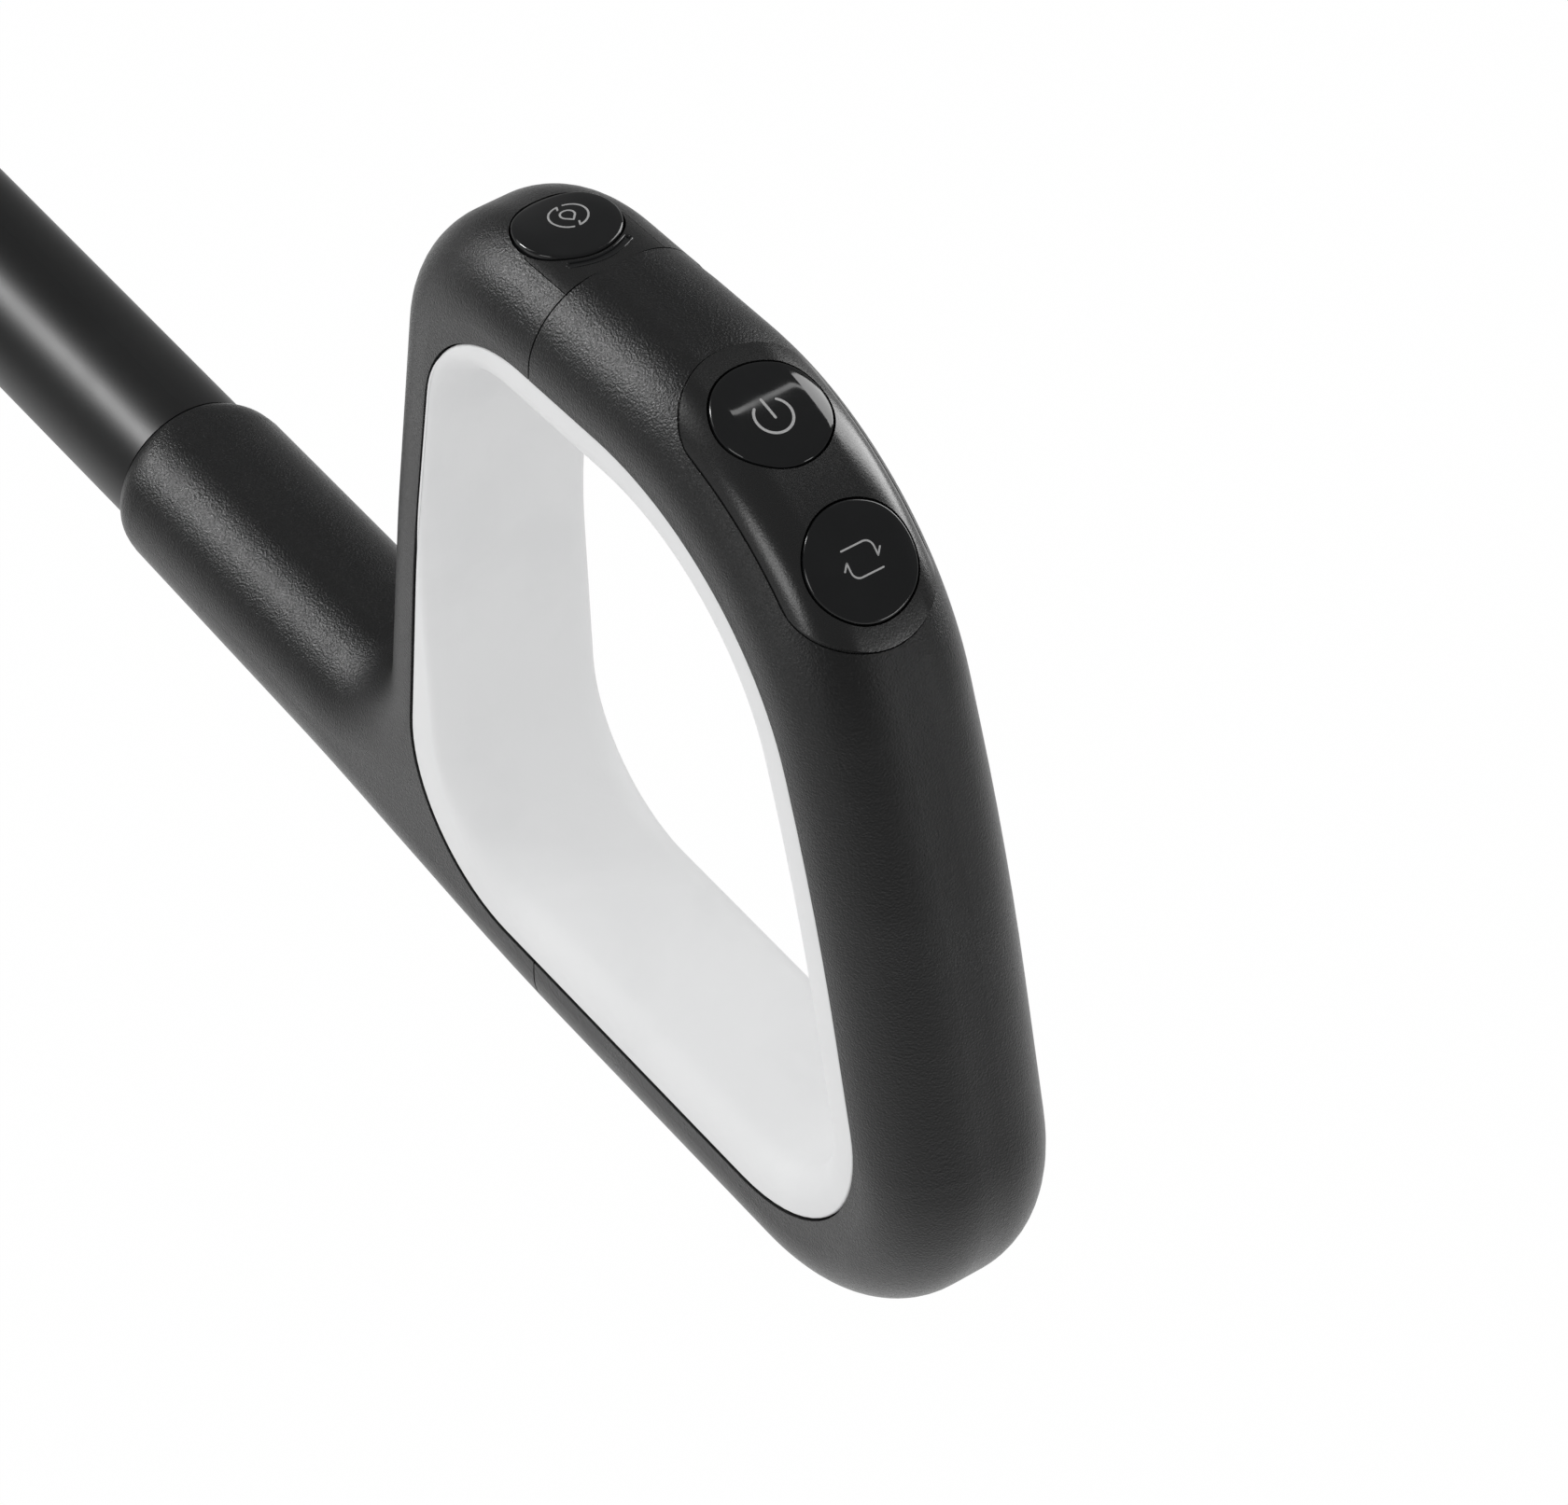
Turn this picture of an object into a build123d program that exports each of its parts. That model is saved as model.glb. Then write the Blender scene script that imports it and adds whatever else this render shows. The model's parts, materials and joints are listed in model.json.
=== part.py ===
from build123d import *
from math import radians, sin, cos
import os

os.makedirs("parts", exist_ok=True)

# Loop handle of an upright floor washer. Millimetres, +Z up, +X along the pole towards the loop.
# The origin is the middle of the pole's free end. The loop lies in the XZ plane.

# ---- pole ----
loop_datum = 300.0           # X from which the loop's sizes in the side view are measured
seam_offset = 1.9            # from the datum to the seam between pole and neck
pole_radius = 14.0
pole_wall = 1.6
seam_gap = 0.3               # visible ring between the pole and the neck
spigot_length = 60.0         # reduced end that slides into the floor head
spigot_radius = 13.4
spigot_taper = 2.0           # cone from the spigot to the full tube
spigot_chamfer = 0.4
latch_hole_radius = 4.0      # takes the floor head's spring latch
latch_hole_x = 44.0
slip_fit = 0.15              # radial gap between parts that slide together

# ---- sleeve inside the pole and the neck ----
sleeve_length = 90.0         # half of it in the pole, half in the neck
sleeve_wall = 2.2
neck_socket_stop = 1.0       # free length beyond the sleeve before the hollow of the neck

# ---- end plug and contacts ----
plug_start = 0.5             # from the pole's free end
plug_length = 20.0
contact_radius = 0.9
contact_length = 24.0
contact_proud = 0.3          # of the contacts' tips from the plug's face
contact_spacing = 5.0
contact_fit = 0.02

# ---- liner outline: the line where the dark shell and the pale liner meet ----
# corners of the six-sided loop in the side view, x from the loop's datum: rear bottom,
# front bottom, middle of the front grip, front top, rear top, middle of the rear side
loop_corners = [(94.3, -4.9), (229.1, -5.6), (209.8, 72.4), (187.6, 131.7), (105.4, 127.3), (98.4, 66.0)]
loop_rounds = [28.0, 29.5, 400.0, 51.0, 28.3, 400.0]
# how far the shell stands outside that outline at each side's start and end:
# bottom, front low, front high, top, rear high, rear low
crown_heights = [(17.1, 17.1), (14.9, 14.9), (14.9, 14.9), (16.4, 15.6), (14.7, 14.1), (14.1, 15.2)]
# corners of the shell's own outline, in the order of the loop's corners; the first is in the neck
crown_corner_rounds = [45.3, 40.5, 414.9, 59.0, 34.0, 414.0]
grip_half_width = 16.8
crown_round = 13.9           # rounding of the shell's long edges
shell_wall = 2.6

# ---- neck ----
neck_top = 14.0
neck_bottom = 14.5
neck_belly = 16.9            # depth of the underside where it starts to swell into the loop
neck_belly_x = 66.0
neck_belly_round = 260.0
heel_round = 400.0
shoulder_length = 6.0        # the neck swells from the round pole to its own oval over this
# way along the shoulder, share of the swell
shoulder_steps = [(0.0, 0.04), (0.15, 0.42), (0.4, 0.75), (0.7, 0.93), (1.0, 0.985), (1.2, 0.985)]
shoulder_step = 0.04         # the shoulder runs into the neck this far below its surface
valley_round = 15.0          # hollow between the neck and the rear side of the loop

# ---- split between the rear and the front shell ----
split_x = 132.0
split_gap = 0.3
tongue_length = 10.0
tongue_root = 2.4            # length over which the tongue is joined to the rear shell
tongue_wall = 2.0
tongue_fit = 0.2
tongue_bite = 0.1            # how far the tongue's root runs into the wall

# ---- liner ----
liner_gap = 0.3              # dark line round the liner
liner_side_inset = 0.2       # liner's sides below the shell's sides
# depth of the liner inside its outline at each side's start and end, in the same order
liner_depths = [(8.3, 8.3), (9.5, 9.5), (9.5, 9.5), (9.5, 9.5), (3.2, 3.0), (3.0, 13.0)]
liner_inner_rounds = [24.0, 20.0, 390.0, 41.0, 20.0, 120.0]
liner_lips = [5.6, 5.6, 5.6, 5.6, 2.8, 2.8]  # how far each side's lips draw back from the opening
liner_lip_reach = 5.6        # along Y
liner_lip_steps = [0.0, 0.5, 0.82, 1.0]
liner_rib_height = 1.5       # two ribs on the liner's back, clipped between the shell walls
liner_rib_width = 2.8
liner_rib_gap = 0.2

# ---- buttons: x from the loop's datum, tilt of the outward normal towards +X ----
button_travel = 0.8
button_gap = 0.35
button_edge_bevel = 0.45
button_wall = 1.5
button_flange = 0.8          # how far the retaining flange stands out, and how thick it is
button_flange_depth = 5.95   # from the crest to the flange's upper face
button_cap_depth = 3.2       # from the crest to the underside of the cap
flange_seat = 0.25           # clearance above the clean button's flange in its counterbore
stem_radius = 1.8
panel_button_proud = 0.55
panel_button_radius = 9.75
power_x = 173.2
power_tilt = 13.5
mode_x = 196.8
mode_tilt = 38.7
clean_button_proud = 0.0
clean_button_crown_round = 11.0  # flatter across than the deck
clean_button_radius = 8.9
clean_x = 118.6
clean_tilt = -14.5

# ---- control panel ----
panel_half_width = 13.4
panel_side_gap = 0.15
panel_proud = 0.35
panel_crown_round = 7.5      # flatter across than the shell, so its sides stand out as a soft shoulder
panel_depth = 1.6            # of the panel's back below the crown
panel_back_gap = 0.1

# ---- clean deck ----
deck_half_width = 9.5
deck_start = 2.2             # from the clean button's axis
deck_top = 0.3               # below the crown
deck_crown_round = 13.0      # slightly flatter across than the shell, so its sides are flush
deck_depth = 1.6
deck_side_gap = 0.12
deck_back_gap = 0.05
window_radius = 10.35        # arc of the status window round the clean button's axis
window_width = 1.2
window_half_angle = 32.0
window_depth = 3.2
window_gap = 0.05

# ---- boards and switches ----
board_thickness = 1.2
board_width = 22.0
main_board_depth = 11.0      # from the crest at the buttons to the board's face
main_board_overhang = 7.8
clean_board_depth = 11.0
clean_board_rear = 13.0      # from the clean button's axis to the board's ends
clean_board_front = 9.5
switch_size = 6.0
switch_height = 2.2
plunger_radius = 1.7
plunger_height = 1.0
press_gap = 0.1              # between stem and plunger with the button fully in
led_size = 2.0
led_height = 1.2
led_inset = 1.4              # from the clean board's front end
boss_radius = 2.5
boss_y = 8.0
boss_hole_depth = 5.5
clean_boss_x = -10.0         # from the clean button's axis along the handle

# ---- looms ----
loom_radius = 1.5
loom_gap = 0.3
# bends of the loom from the pole up the rear side, x from the loop's datum, and its last straight run
loom_bends = [(88.5, 0.0), (94.0, 90.0)]
loom_last_run = 9.0
loom_rounds = [24.0, 80.0, 12.0]
panel_loom_round = 12.0

# ---- screws ----
screw_radius = 1.4
screw_fit = 0.05
screw_head_radius = 2.6
screw_head_height = 1.5
spot_face = 0.3              # flat under the heads on the pole
screw_sink = 0.2             # heads below the shells
screw_recess_gap = 0.3
screw_length = 6.0
seam_screw_inset = 15.0      # from the seam to the screw on each side of it
sleeve_screw_inset = 9.0     # from the sleeve's ends to the outer screws
shell_screw_inset = 5.0      # from the split to the screws that tie the tongue
shell_screw_turn = 30.0      # degrees round the crown's rounding, up from its flank

# ---- derived sizes ----
pole_length = loop_datum + seam_offset
sleeve_radius = pole_radius - pole_wall - slip_fit
plug_radius = spigot_radius - pole_wall - slip_fit
neck_slope = (neck_belly - neck_bottom) / neck_belly_x
sleeve_start = pole_length - sleeve_length / 2
sleeve_end = pole_length + sleeve_length / 2
neck_socket_end = sleeve_end + neck_socket_stop
tube_screw_xs = [sleeve_start + sleeve_screw_inset, pole_length - seam_screw_inset]
neck_screw_xs = [pole_length + seam_screw_inset, sleeve_end - sleeve_screw_inset]
screw_hole_radius = screw_radius + screw_fit
inner_half_width = grip_half_width - shell_wall
split_rear = loop_datum + split_x - split_gap / 2
split_front = loop_datum + split_x + split_gap / 2

bevel_share = 2 - 2 ** 0.5    # bevel that touches a rounded edge, as a share of its radius

side_view = Plane(origin=(loop_datum, 0, 0), x_dir=(1, 0, 0), z_dir=(0, -1, 0))


def cross_point(p, d, q, e):
    """Where the line from p along d meets the line from q along e."""
    t = ((q - p).X * e.Y - (q - p).Y * e.X) / (d.X * e.Y - d.Y * e.X)
    return p + d * t


def shifted_corners(corners, shifts):
    """Corners of a polygon whose sides move outwards, each by (start, end)."""
    count = len(corners)
    sides = []
    for i in range(count):
        a = Vector(*corners[i])
        b = Vector(*corners[(i + 1) % count])
        along = (b - a).normalized()
        out = Vector(along.Y, -along.X)
        start = a + out * shifts[i][0]
        sides.append((start, b + out * shifts[i][1] - start))
    return [cross_point(*sides[i - 1], *sides[i]) for i in range(count)]


def handle_corners(inset):
    """Corners and rounds of the handle's outer outline in the side view, moved inwards by inset."""
    crown = shifted_corners(loop_corners, [(a - inset, b - inset) for a, b in crown_heights])
    rounds = [r - inset for r in crown_corner_rounds]
    top = neck_top - inset
    valley = cross_point(crown[0], crown[5] - crown[0], Vector(0, top), Vector(1, 0))
    belly = Vector(neck_belly_x, -neck_belly + inset)
    heel = Vector(crown[0].X + rounds[0], crown[0].Y)
    start = Vector(0, -neck_bottom + inset)
    points = [Vector(0, top), valley, *reversed(crown[1:]), heel, belly, start]
    corner_rounds = [0, valley_round + inset, *reversed(rounds[1:]), heel_round, neck_belly_round, 0]
    return [(p.X, p.Y) for p in points], corner_rounds


def crown_edges(part, x_from):
    """Long edges of an extruded outline, without those across it or at the neck's end."""
    return [e for e in part.edges().filter_by(Axis.Y, reverse=True) if (e @ 0.5).X > x_from]


def rounded_handle(inset, half_width=grip_half_width, edge_round=crown_round):
    """Solid neck and loop without the hand opening, all its surfaces moved inwards by inset."""
    points, rounds = handle_corners(inset)
    with BuildPart(mode=Mode.PRIVATE) as solid:
        with BuildSketch(side_view):
            with BuildLine():
                FilletPolyline(*points, radius=rounds, close=True)
            make_face()
        extrude(amount=half_width - inset, both=True)
        fillet(crown_edges(solid, loop_datum + 0.01), edge_round - inset)
    return solid.part


def hollow(inset):
    """Like rounded_handle, but with flat bevels: the inner side of the walls."""
    points, rounds = handle_corners(inset)
    with BuildPart(mode=Mode.PRIVATE) as solid:
        with BuildSketch(side_view):
            with BuildLine():
                FilletPolyline(*points, radius=rounds, close=True)
            make_face()
        extrude(amount=grip_half_width - inset, both=True)
        chamfer(crown_edges(solid, loop_datum + 0.01), (crown_round - inset) * bevel_share)
    return solid.part


def pillow(inset):
    """Handle with a flatter crown, for the control panel and its buttons."""
    return rounded_handle(inset, panel_half_width, panel_crown_round)


def deck_surface():
    """Handle whose crown lies a little below the shells', for the clean deck."""
    return rounded_handle(deck_top, grip_half_width, deck_crown_round)


def loop_prism(shift, half_width):
    """Prism through the loop whose outline is the liner's, moved outwards by shift."""
    corners = shifted_corners(loop_corners, [(shift, shift)] * len(loop_corners))
    with BuildPart(mode=Mode.PRIVATE) as prism:
        with BuildSketch(side_view):
            with BuildLine():
                FilletPolyline(*[(p.X, p.Y) for p in corners], radius=[r + shift for r in loop_rounds],
                               close=True)
            make_face()
        extrude(amount=half_width, both=True)
    return prism.part


def opening_face(share, y):
    """Outline of the hand opening in the plane at y, drawn back by a share of the lips."""
    inner = shifted_corners(loop_corners, [(-a, -b) for a, b in liner_depths])
    drawn = shifted_corners([(p.X, p.Y) for p in inner], [(lip * share, lip * share) for lip in liner_lips])
    plane = side_view.offset(-y)
    with BuildSketch(plane, mode=Mode.PRIVATE) as face:
        with BuildLine():
            FilletPolyline(*[(p.X, p.Y) for p in drawn], close=True,
                           radius=[r + lip * share for r, lip in zip(liner_inner_rounds, liner_lips)])
        make_face()
    return face.sketch.faces()[0]


def opening_prism(share, half_width):
    """Hand opening through the liner between its lips."""
    with BuildPart(mode=Mode.PRIVATE) as solid:
        extrude(opening_face(share, 0), amount=half_width, both=True)
    return solid.part


def flared_lip(side):
    """What a rounded lip takes away on one side of the opening, widest at the liner's flank."""
    start = grip_half_width - liner_side_inset - liner_lip_reach
    faces = [opening_face(1 - (1 - t ** 2) ** 0.5, side * (start + liner_lip_reach * t))
             for t in liner_lip_steps]
    with BuildPart(mode=Mode.PRIVATE) as solid:
        loft(faces, ruled=True)
    return solid.part


def slab(x_from, x_to):
    """Block that covers the whole section between two values of X."""
    size = 400.0
    with BuildPart(mode=Mode.PRIVATE) as block:
        with Locations(((x_from + x_to) / 2, 0, 0)):
            Box(x_to - x_from, size, size)
    return block.part


def crest_plane(solid, x, tilt):
    """Plane on the crest of a solid at x from the loop's datum, its normal tilted towards +X."""
    ray = Axis((loop_datum + x, 0, 400), (0, 0, -1))
    crest = solid.find_intersection_points(ray)[0][0]
    normal = (sin(radians(tilt)), 0, cos(radians(tilt)))
    along = (cos(radians(tilt)), 0, -sin(radians(tilt)))
    return Plane(origin=crest, x_dir=along, z_dir=normal)


def flank_screw_plane(solid, x, up):
    """Plane under a screw head sunk into the crown's rounding; up is 1 on its top and -1 below."""
    crest = solid.find_intersection_points(Axis((x, 0, 400 * up), (0, 0, -up)))[0][0]
    normal = Vector(0, cos(radians(shell_screw_turn)), up * sin(radians(shell_screw_turn)))
    centre = crest + Vector(0, grip_half_width - crown_round, -up * crown_round)
    head_seat = crown_round - screw_sink - screw_head_height
    return Plane(origin=centre + normal * head_seat, x_dir=(1, 0, 0), z_dir=normal)


def shoulder_section(way, share):
    """Rounded section of the neck partway along its shoulder, with a share of its full swell."""
    half_width = pole_radius + (grip_half_width - pole_radius) * share
    full_bottom = neck_bottom + neck_slope * (seam_offset + shoulder_length)
    bottom = pole_radius + (full_bottom - pole_radius) * share
    top = neck_top - shoulder_step
    centre = (pole_length + shoulder_length * way, 0, (top - bottom) / 2)
    with BuildSketch(Plane(origin=centre, x_dir=(0, 1, 0), z_dir=(1, 0, 0)), mode=Mode.PRIVATE) as section:
        RectangleRounded(2 * half_width, top + bottom, crown_round)
    return section.sketch


def cylinder_on(plane, radius, low, high):
    """Cylinder on a plane's normal between two heights."""
    with BuildPart(mode=Mode.PRIVATE) as solid:
        with BuildSketch(plane.offset(low)):
            Circle(radius)
        extrude(amount=high - low)
    return solid.part


def block_on(plane, x_from, x_to, width, low, high):
    """Block on a plane, centred across it, between two heights."""
    with BuildPart(mode=Mode.PRIVATE) as solid:
        with BuildSketch(plane.offset(low)):
            with Locations(((x_from + x_to) / 2, 0)):
                Rectangle(x_to - x_from, width)
        extrude(amount=high - low)
    return solid.part


def arc_slot(plane, gap, low, high):
    """Curved slot of the status window on the clean button's plane, widened by gap."""
    half = window_width / 2 + gap
    reach = radians(window_half_angle)
    end = (window_radius * cos(reach), window_radius * sin(reach))
    with BuildPart(mode=Mode.PRIVATE) as solid:
        with BuildSketch(plane.offset(low)):
            with BuildLine():
                arc = RadiusArc((end[0], -end[1]), end, -window_radius)
            SlotArc(arc=arc, height=2 * half)
        extrude(amount=high - low)
    return solid.part


def pan_head_screws(planes):
    """Screws with plain heads; each plane lies under a head and faces out."""
    with BuildPart(mode=Mode.PRIVATE) as group:
        for plane in planes:
            add(cylinder_on(plane, screw_radius, -screw_length, 0))
            add(cylinder_on(plane, screw_head_radius, 0, screw_head_height))
    return group.part


def switch_on(plane):
    """Tact switch on a board's face: square body with a round plunger."""
    body = block_on(plane, -switch_size / 2, switch_size / 2, switch_size, 0, switch_height)
    return body + cylinder_on(plane, plunger_radius, switch_height - 0.1, switch_height + plunger_height)


def push_button(plane, radius, surface, board):
    """Hollow button whose top follows a surface, with a retaining flange and a stem over its switch."""
    flange_low = -button_flange_depth - button_flange
    cap = cylinder_on(plane, radius, flange_low, 6) & surface
    top = [e for e in cap.edges()
           if (e.center() - plane.origin).dot(plane.z_dir) > -button_cap_depth - 2
           and e.geom_type != GeomType.LINE]
    cap = cap.chamfer(button_edge_bevel, None, top)
    cap += cylinder_on(plane, radius + button_flange, flange_low, -button_flange_depth)
    cap -= cylinder_on(plane, radius - button_wall, flange_low - 1, -button_cap_depth)
    press = switch_height + plunger_height + button_travel + press_gap
    reach = 40.0
    above = block_on(board, -reach, reach, 2 * reach, press, press + reach)
    return cap + (cylinder_on(plane, stem_radius, -20, -button_cap_depth + 0.5) & above)


def switch_plane(button, board):
    """Where a button's stem meets its switch, on the board's face."""
    into = -button.z_dir
    height = (button.origin - board.origin).dot(board.z_dir) - switch_height - plunger_height
    meet = button.origin + into * (height / -into.dot(board.z_dir))
    foot = meet - board.z_dir * (switch_height + plunger_height)
    return Plane(origin=foot, x_dir=board.x_dir, z_dir=board.z_dir)


crown = rounded_handle(0)
cavity = hollow(shell_wall)
power_plane = crest_plane(crown, power_x, power_tilt)
mode_plane = crest_plane(crown, mode_x, mode_tilt)
clean_plane = crest_plane(crown, clean_x, clean_tilt)
chord = (mode_plane.origin - power_plane.origin).normalized()
panel_plane = Plane(origin=(mode_plane.origin + power_plane.origin) / 2, x_dir=chord,
                    z_dir=chord.cross(Vector(0, 1, 0)))
button_distance = (mode_plane.origin - power_plane.origin).length
main_board_plane = panel_plane.offset(-main_board_depth)
clean_board_plane = clean_plane.offset(-clean_board_depth)
power_switch_plane = switch_plane(power_plane, main_board_plane)
mode_switch_plane = switch_plane(mode_plane, main_board_plane)
clean_switch_plane = switch_plane(clean_plane, clean_board_plane)
main_board_half = button_distance / 2 + main_board_overhang

# screws: planes under the heads
pole_under = [Plane(origin=(x, 0, -pole_radius + spot_face), x_dir=(1, 0, 0), z_dir=(0, 0, -1))
              for x in tube_screw_xs]
neck_under = [Plane(origin=(x, 0, -neck_bottom - neck_slope * (x - loop_datum) + screw_sink
                            + screw_head_height), x_dir=(1, 0, 0), z_dir=(0, 0, -1))
              for x in neck_screw_xs]
shell_side = [flank_screw_plane(crown, split_front + shell_screw_inset, up) for up in (1, -1)]


def bosses_over(board, x, top_inset):
    """Two screw bosses from the inside of the crown down to a board's face."""
    limit = hollow(top_inset)
    pair = [cylinder_on(Plane(origin=board.origin + board.x_dir * x + board.y_dir * side,
                              x_dir=board.x_dir, z_dir=board.z_dir), boss_radius, 0, 20) & limit
            for side in (-boss_y, boss_y)]
    holes = [cylinder_on(Plane(origin=board.origin + board.x_dir * x + board.y_dir * side,
                               x_dir=board.x_dir, z_dir=board.z_dir), screw_hole_radius, -1, boss_hole_depth)
             for side in (-boss_y, boss_y)]
    return pair, holes


def board_screw_planes(board, x):
    """Planes on a board's underside for the screws that go up into the bosses."""
    return [Plane(origin=board.origin + board.x_dir * x + board.y_dir * side
                  - board.z_dir * board_thickness, x_dir=board.x_dir, z_dir=-board.z_dir)
            for side in (-boss_y, boss_y)]


def circuit_board(board, x_from, x_to, boss_x):
    """Board under the buttons with rounded corners and two screw holes."""
    with BuildPart(mode=Mode.PRIVATE) as solid:
        with BuildSketch(board.offset(-board_thickness)):
            with Locations(((x_from + x_to) / 2, 0)):
                RectangleRounded(x_to - x_from, board_width, 2.0)
            with Locations((boss_x, -boss_y), (boss_x, boss_y)):
                Circle(screw_hole_radius, mode=Mode.SUBTRACT)
        extrude(amount=board_thickness)
    return solid.part


def panel_outline(gap, low, high):
    """Oblong prism round the power and mode buttons, widened by gap."""
    with BuildPart(mode=Mode.PRIVATE) as solid:
        with BuildSketch(panel_plane.offset(low)):
            SlotOverall(button_distance + 2 * (panel_half_width + gap), 2 * (panel_half_width + gap))
        extrude(amount=high - low)
    return solid.part


def deck_block(gap):
    """Block over the deck, from the clean button to the split, widened by gap at the sides."""
    start = clean_plane.origin.X + deck_start - gap
    with BuildPart(mode=Mode.PRIVATE) as block:
        with Locations(((start + split_rear) / 2, 0, clean_plane.origin.Z)):
            Box(split_rear - start, 2 * (deck_half_width + gap), 12)
    return block.part


# ---- pole ----
with BuildPart() as pole_tube:
    with BuildSketch(Plane.XZ):
        Polygon((0, spigot_radius - pole_wall), (0, spigot_radius - spigot_chamfer),
                (spigot_chamfer, spigot_radius), (spigot_length, spigot_radius),
                (spigot_length + spigot_taper, pole_radius), (pole_length - seam_gap, pole_radius),
                (pole_length - seam_gap, pole_radius - pole_wall),
                (spigot_length + spigot_taper, pole_radius - pole_wall),
                (spigot_length, spigot_radius - pole_wall), align=None)
    revolve(axis=Axis.X)
    with Locations((latch_hole_x, 0, -pole_radius)):
        Cylinder(latch_hole_radius, 2 * pole_wall + 4, mode=Mode.SUBTRACT)
    for under in pole_under:
        add(cylinder_on(under, screw_hole_radius, -pole_wall - 1, 1), mode=Mode.SUBTRACT)
        add(cylinder_on(under, screw_head_radius + slip_fit, 0, 3), mode=Mode.SUBTRACT)
pole_tube.part.label = "pole_tube"
export_step(pole_tube.part, "parts/pole_tube.step")

with BuildPart() as pole_end_plug:
    with BuildSketch(Plane.YZ.offset(plug_start)):
        Circle(plug_radius)
    extrude(amount=plug_length)
    with BuildSketch(Plane.YZ.offset(plug_start)):
        with GridLocations(contact_spacing, contact_spacing, 2, 2):
            Circle(contact_radius + contact_fit)
    extrude(amount=plug_length, mode=Mode.SUBTRACT)
pole_end_plug.part.label = "pole_end_plug"
export_step(pole_end_plug.part, "parts/pole_end_plug.step")

with BuildPart() as contact_pins:
    with BuildSketch(Plane.YZ.offset(plug_start - contact_proud)):
        with GridLocations(contact_spacing, contact_spacing, 2, 2):
            Circle(contact_radius)
    extrude(amount=contact_length)
contact_pins.part.label = "contact_pins"
export_step(contact_pins.part, "parts/contact_pins.step")

with BuildPart() as joint_sleeve:
    with BuildSketch(Plane.YZ.offset(sleeve_start)):
        Circle(sleeve_radius)
        Circle(sleeve_radius - sleeve_wall, mode=Mode.SUBTRACT)
    extrude(amount=sleeve_length)
    for under in pole_under + neck_under:
        add(cylinder_on(under, screw_hole_radius, -screw_length - 1, 1), mode=Mode.SUBTRACT)
joint_sleeve.part.label = "joint_sleeve"
export_step(joint_sleeve.part, "parts/joint_sleeve.step")

with BuildPart() as tube_screws:
    add(pan_head_screws(pole_under))
tube_screws.part.label = "tube_screws"
export_step(tube_screws.part, "parts/tube_screws.step")

with BuildPart() as neck_screws:
    add(pan_head_screws(neck_under))
neck_screws.part.label = "neck_screws"
export_step(neck_screws.part, "parts/neck_screws.step")

# ---- shells ----
shoulder = loft([shoulder_section(way, share) for way, share in shoulder_steps])
neck_start = pole_length + shoulder_length
beyond = 2 * pole_length
clean_bosses, clean_boss_holes = bosses_over(clean_board_plane, clean_boss_x, shell_wall - 0.6)
main_bosses, main_boss_holes = bosses_over(main_board_plane, 0, shell_wall - 0.6)
tongue_solid = hollow(shell_wall + tongue_fit) - hollow(shell_wall + tongue_fit + tongue_wall)
root_solid = hollow(shell_wall - tongue_bite) - hollow(shell_wall + tongue_fit + tongue_wall)
tongue_clear = loop_prism(liner_rib_height + liner_gap, grip_half_width)

with BuildPart() as rear_shell:
    add(shoulder)
    add(crown & slab(neck_start, split_rear))
    add(cavity & slab(neck_socket_end, split_rear + 1), mode=Mode.SUBTRACT)
    add(loop_prism(0, grip_half_width + 1), mode=Mode.SUBTRACT)
    add(cylinder_on(Plane.YZ, sleeve_radius + slip_fit, pole_length - 1, neck_socket_end + 0.1),
        mode=Mode.SUBTRACT)
    add(deck_block(deck_side_gap) - hollow(deck_depth), mode=Mode.SUBTRACT)
    add((tongue_solid & slab(split_rear - tongue_root, split_rear + tongue_length)) - tongue_clear)
    add((root_solid & slab(split_rear - tongue_root, split_rear)) - tongue_clear)
    add(cylinder_on(clean_plane, clean_button_radius + button_gap, -6, 8), mode=Mode.SUBTRACT)
    add(cylinder_on(clean_plane, clean_button_radius + button_flange + button_gap, -10,
                    flange_seat - button_flange_depth), mode=Mode.SUBTRACT)
    add(arc_slot(clean_plane, window_gap, -8, 4), mode=Mode.SUBTRACT)
    add(clean_bosses)
    add(clean_boss_holes, mode=Mode.SUBTRACT)
    for under in neck_under:
        add(cylinder_on(under, screw_hole_radius, -4, 1), mode=Mode.SUBTRACT)
        add(cylinder_on(under, screw_head_radius + screw_recess_gap, 0, 5), mode=Mode.SUBTRACT)
    for side in shell_side:
        add(cylinder_on(side, screw_hole_radius, -screw_length, 1), mode=Mode.SUBTRACT)
rear_shell.part.label = "rear_shell"
export_step(rear_shell.part, "parts/rear_shell.step")

with BuildPart() as front_shell:
    add(crown & slab(split_front, beyond))
    add(cavity, mode=Mode.SUBTRACT)
    add(loop_prism(0, grip_half_width + 1), mode=Mode.SUBTRACT)
    add(panel_outline(panel_side_gap, -14, 12) - hollow(panel_depth + panel_back_gap), mode=Mode.SUBTRACT)
    for plane in (power_plane, mode_plane):
        add(cylinder_on(plane, panel_button_radius + button_gap, -7, 8), mode=Mode.SUBTRACT)
    add(main_bosses)
    add(main_boss_holes, mode=Mode.SUBTRACT)
    for side in shell_side:
        add(cylinder_on(side, screw_hole_radius, -4, 1), mode=Mode.SUBTRACT)
        add(cylinder_on(side, screw_head_radius + screw_recess_gap, 0, 4), mode=Mode.SUBTRACT)
front_shell.part.label = "front_shell"
export_step(front_shell.part, "parts/front_shell.step")

with BuildPart() as shell_screws:
    add(pan_head_screws(shell_side))
shell_screws.part.label = "shell_screws"
export_step(shell_screws.part, "parts/shell_screws.step")

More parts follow.
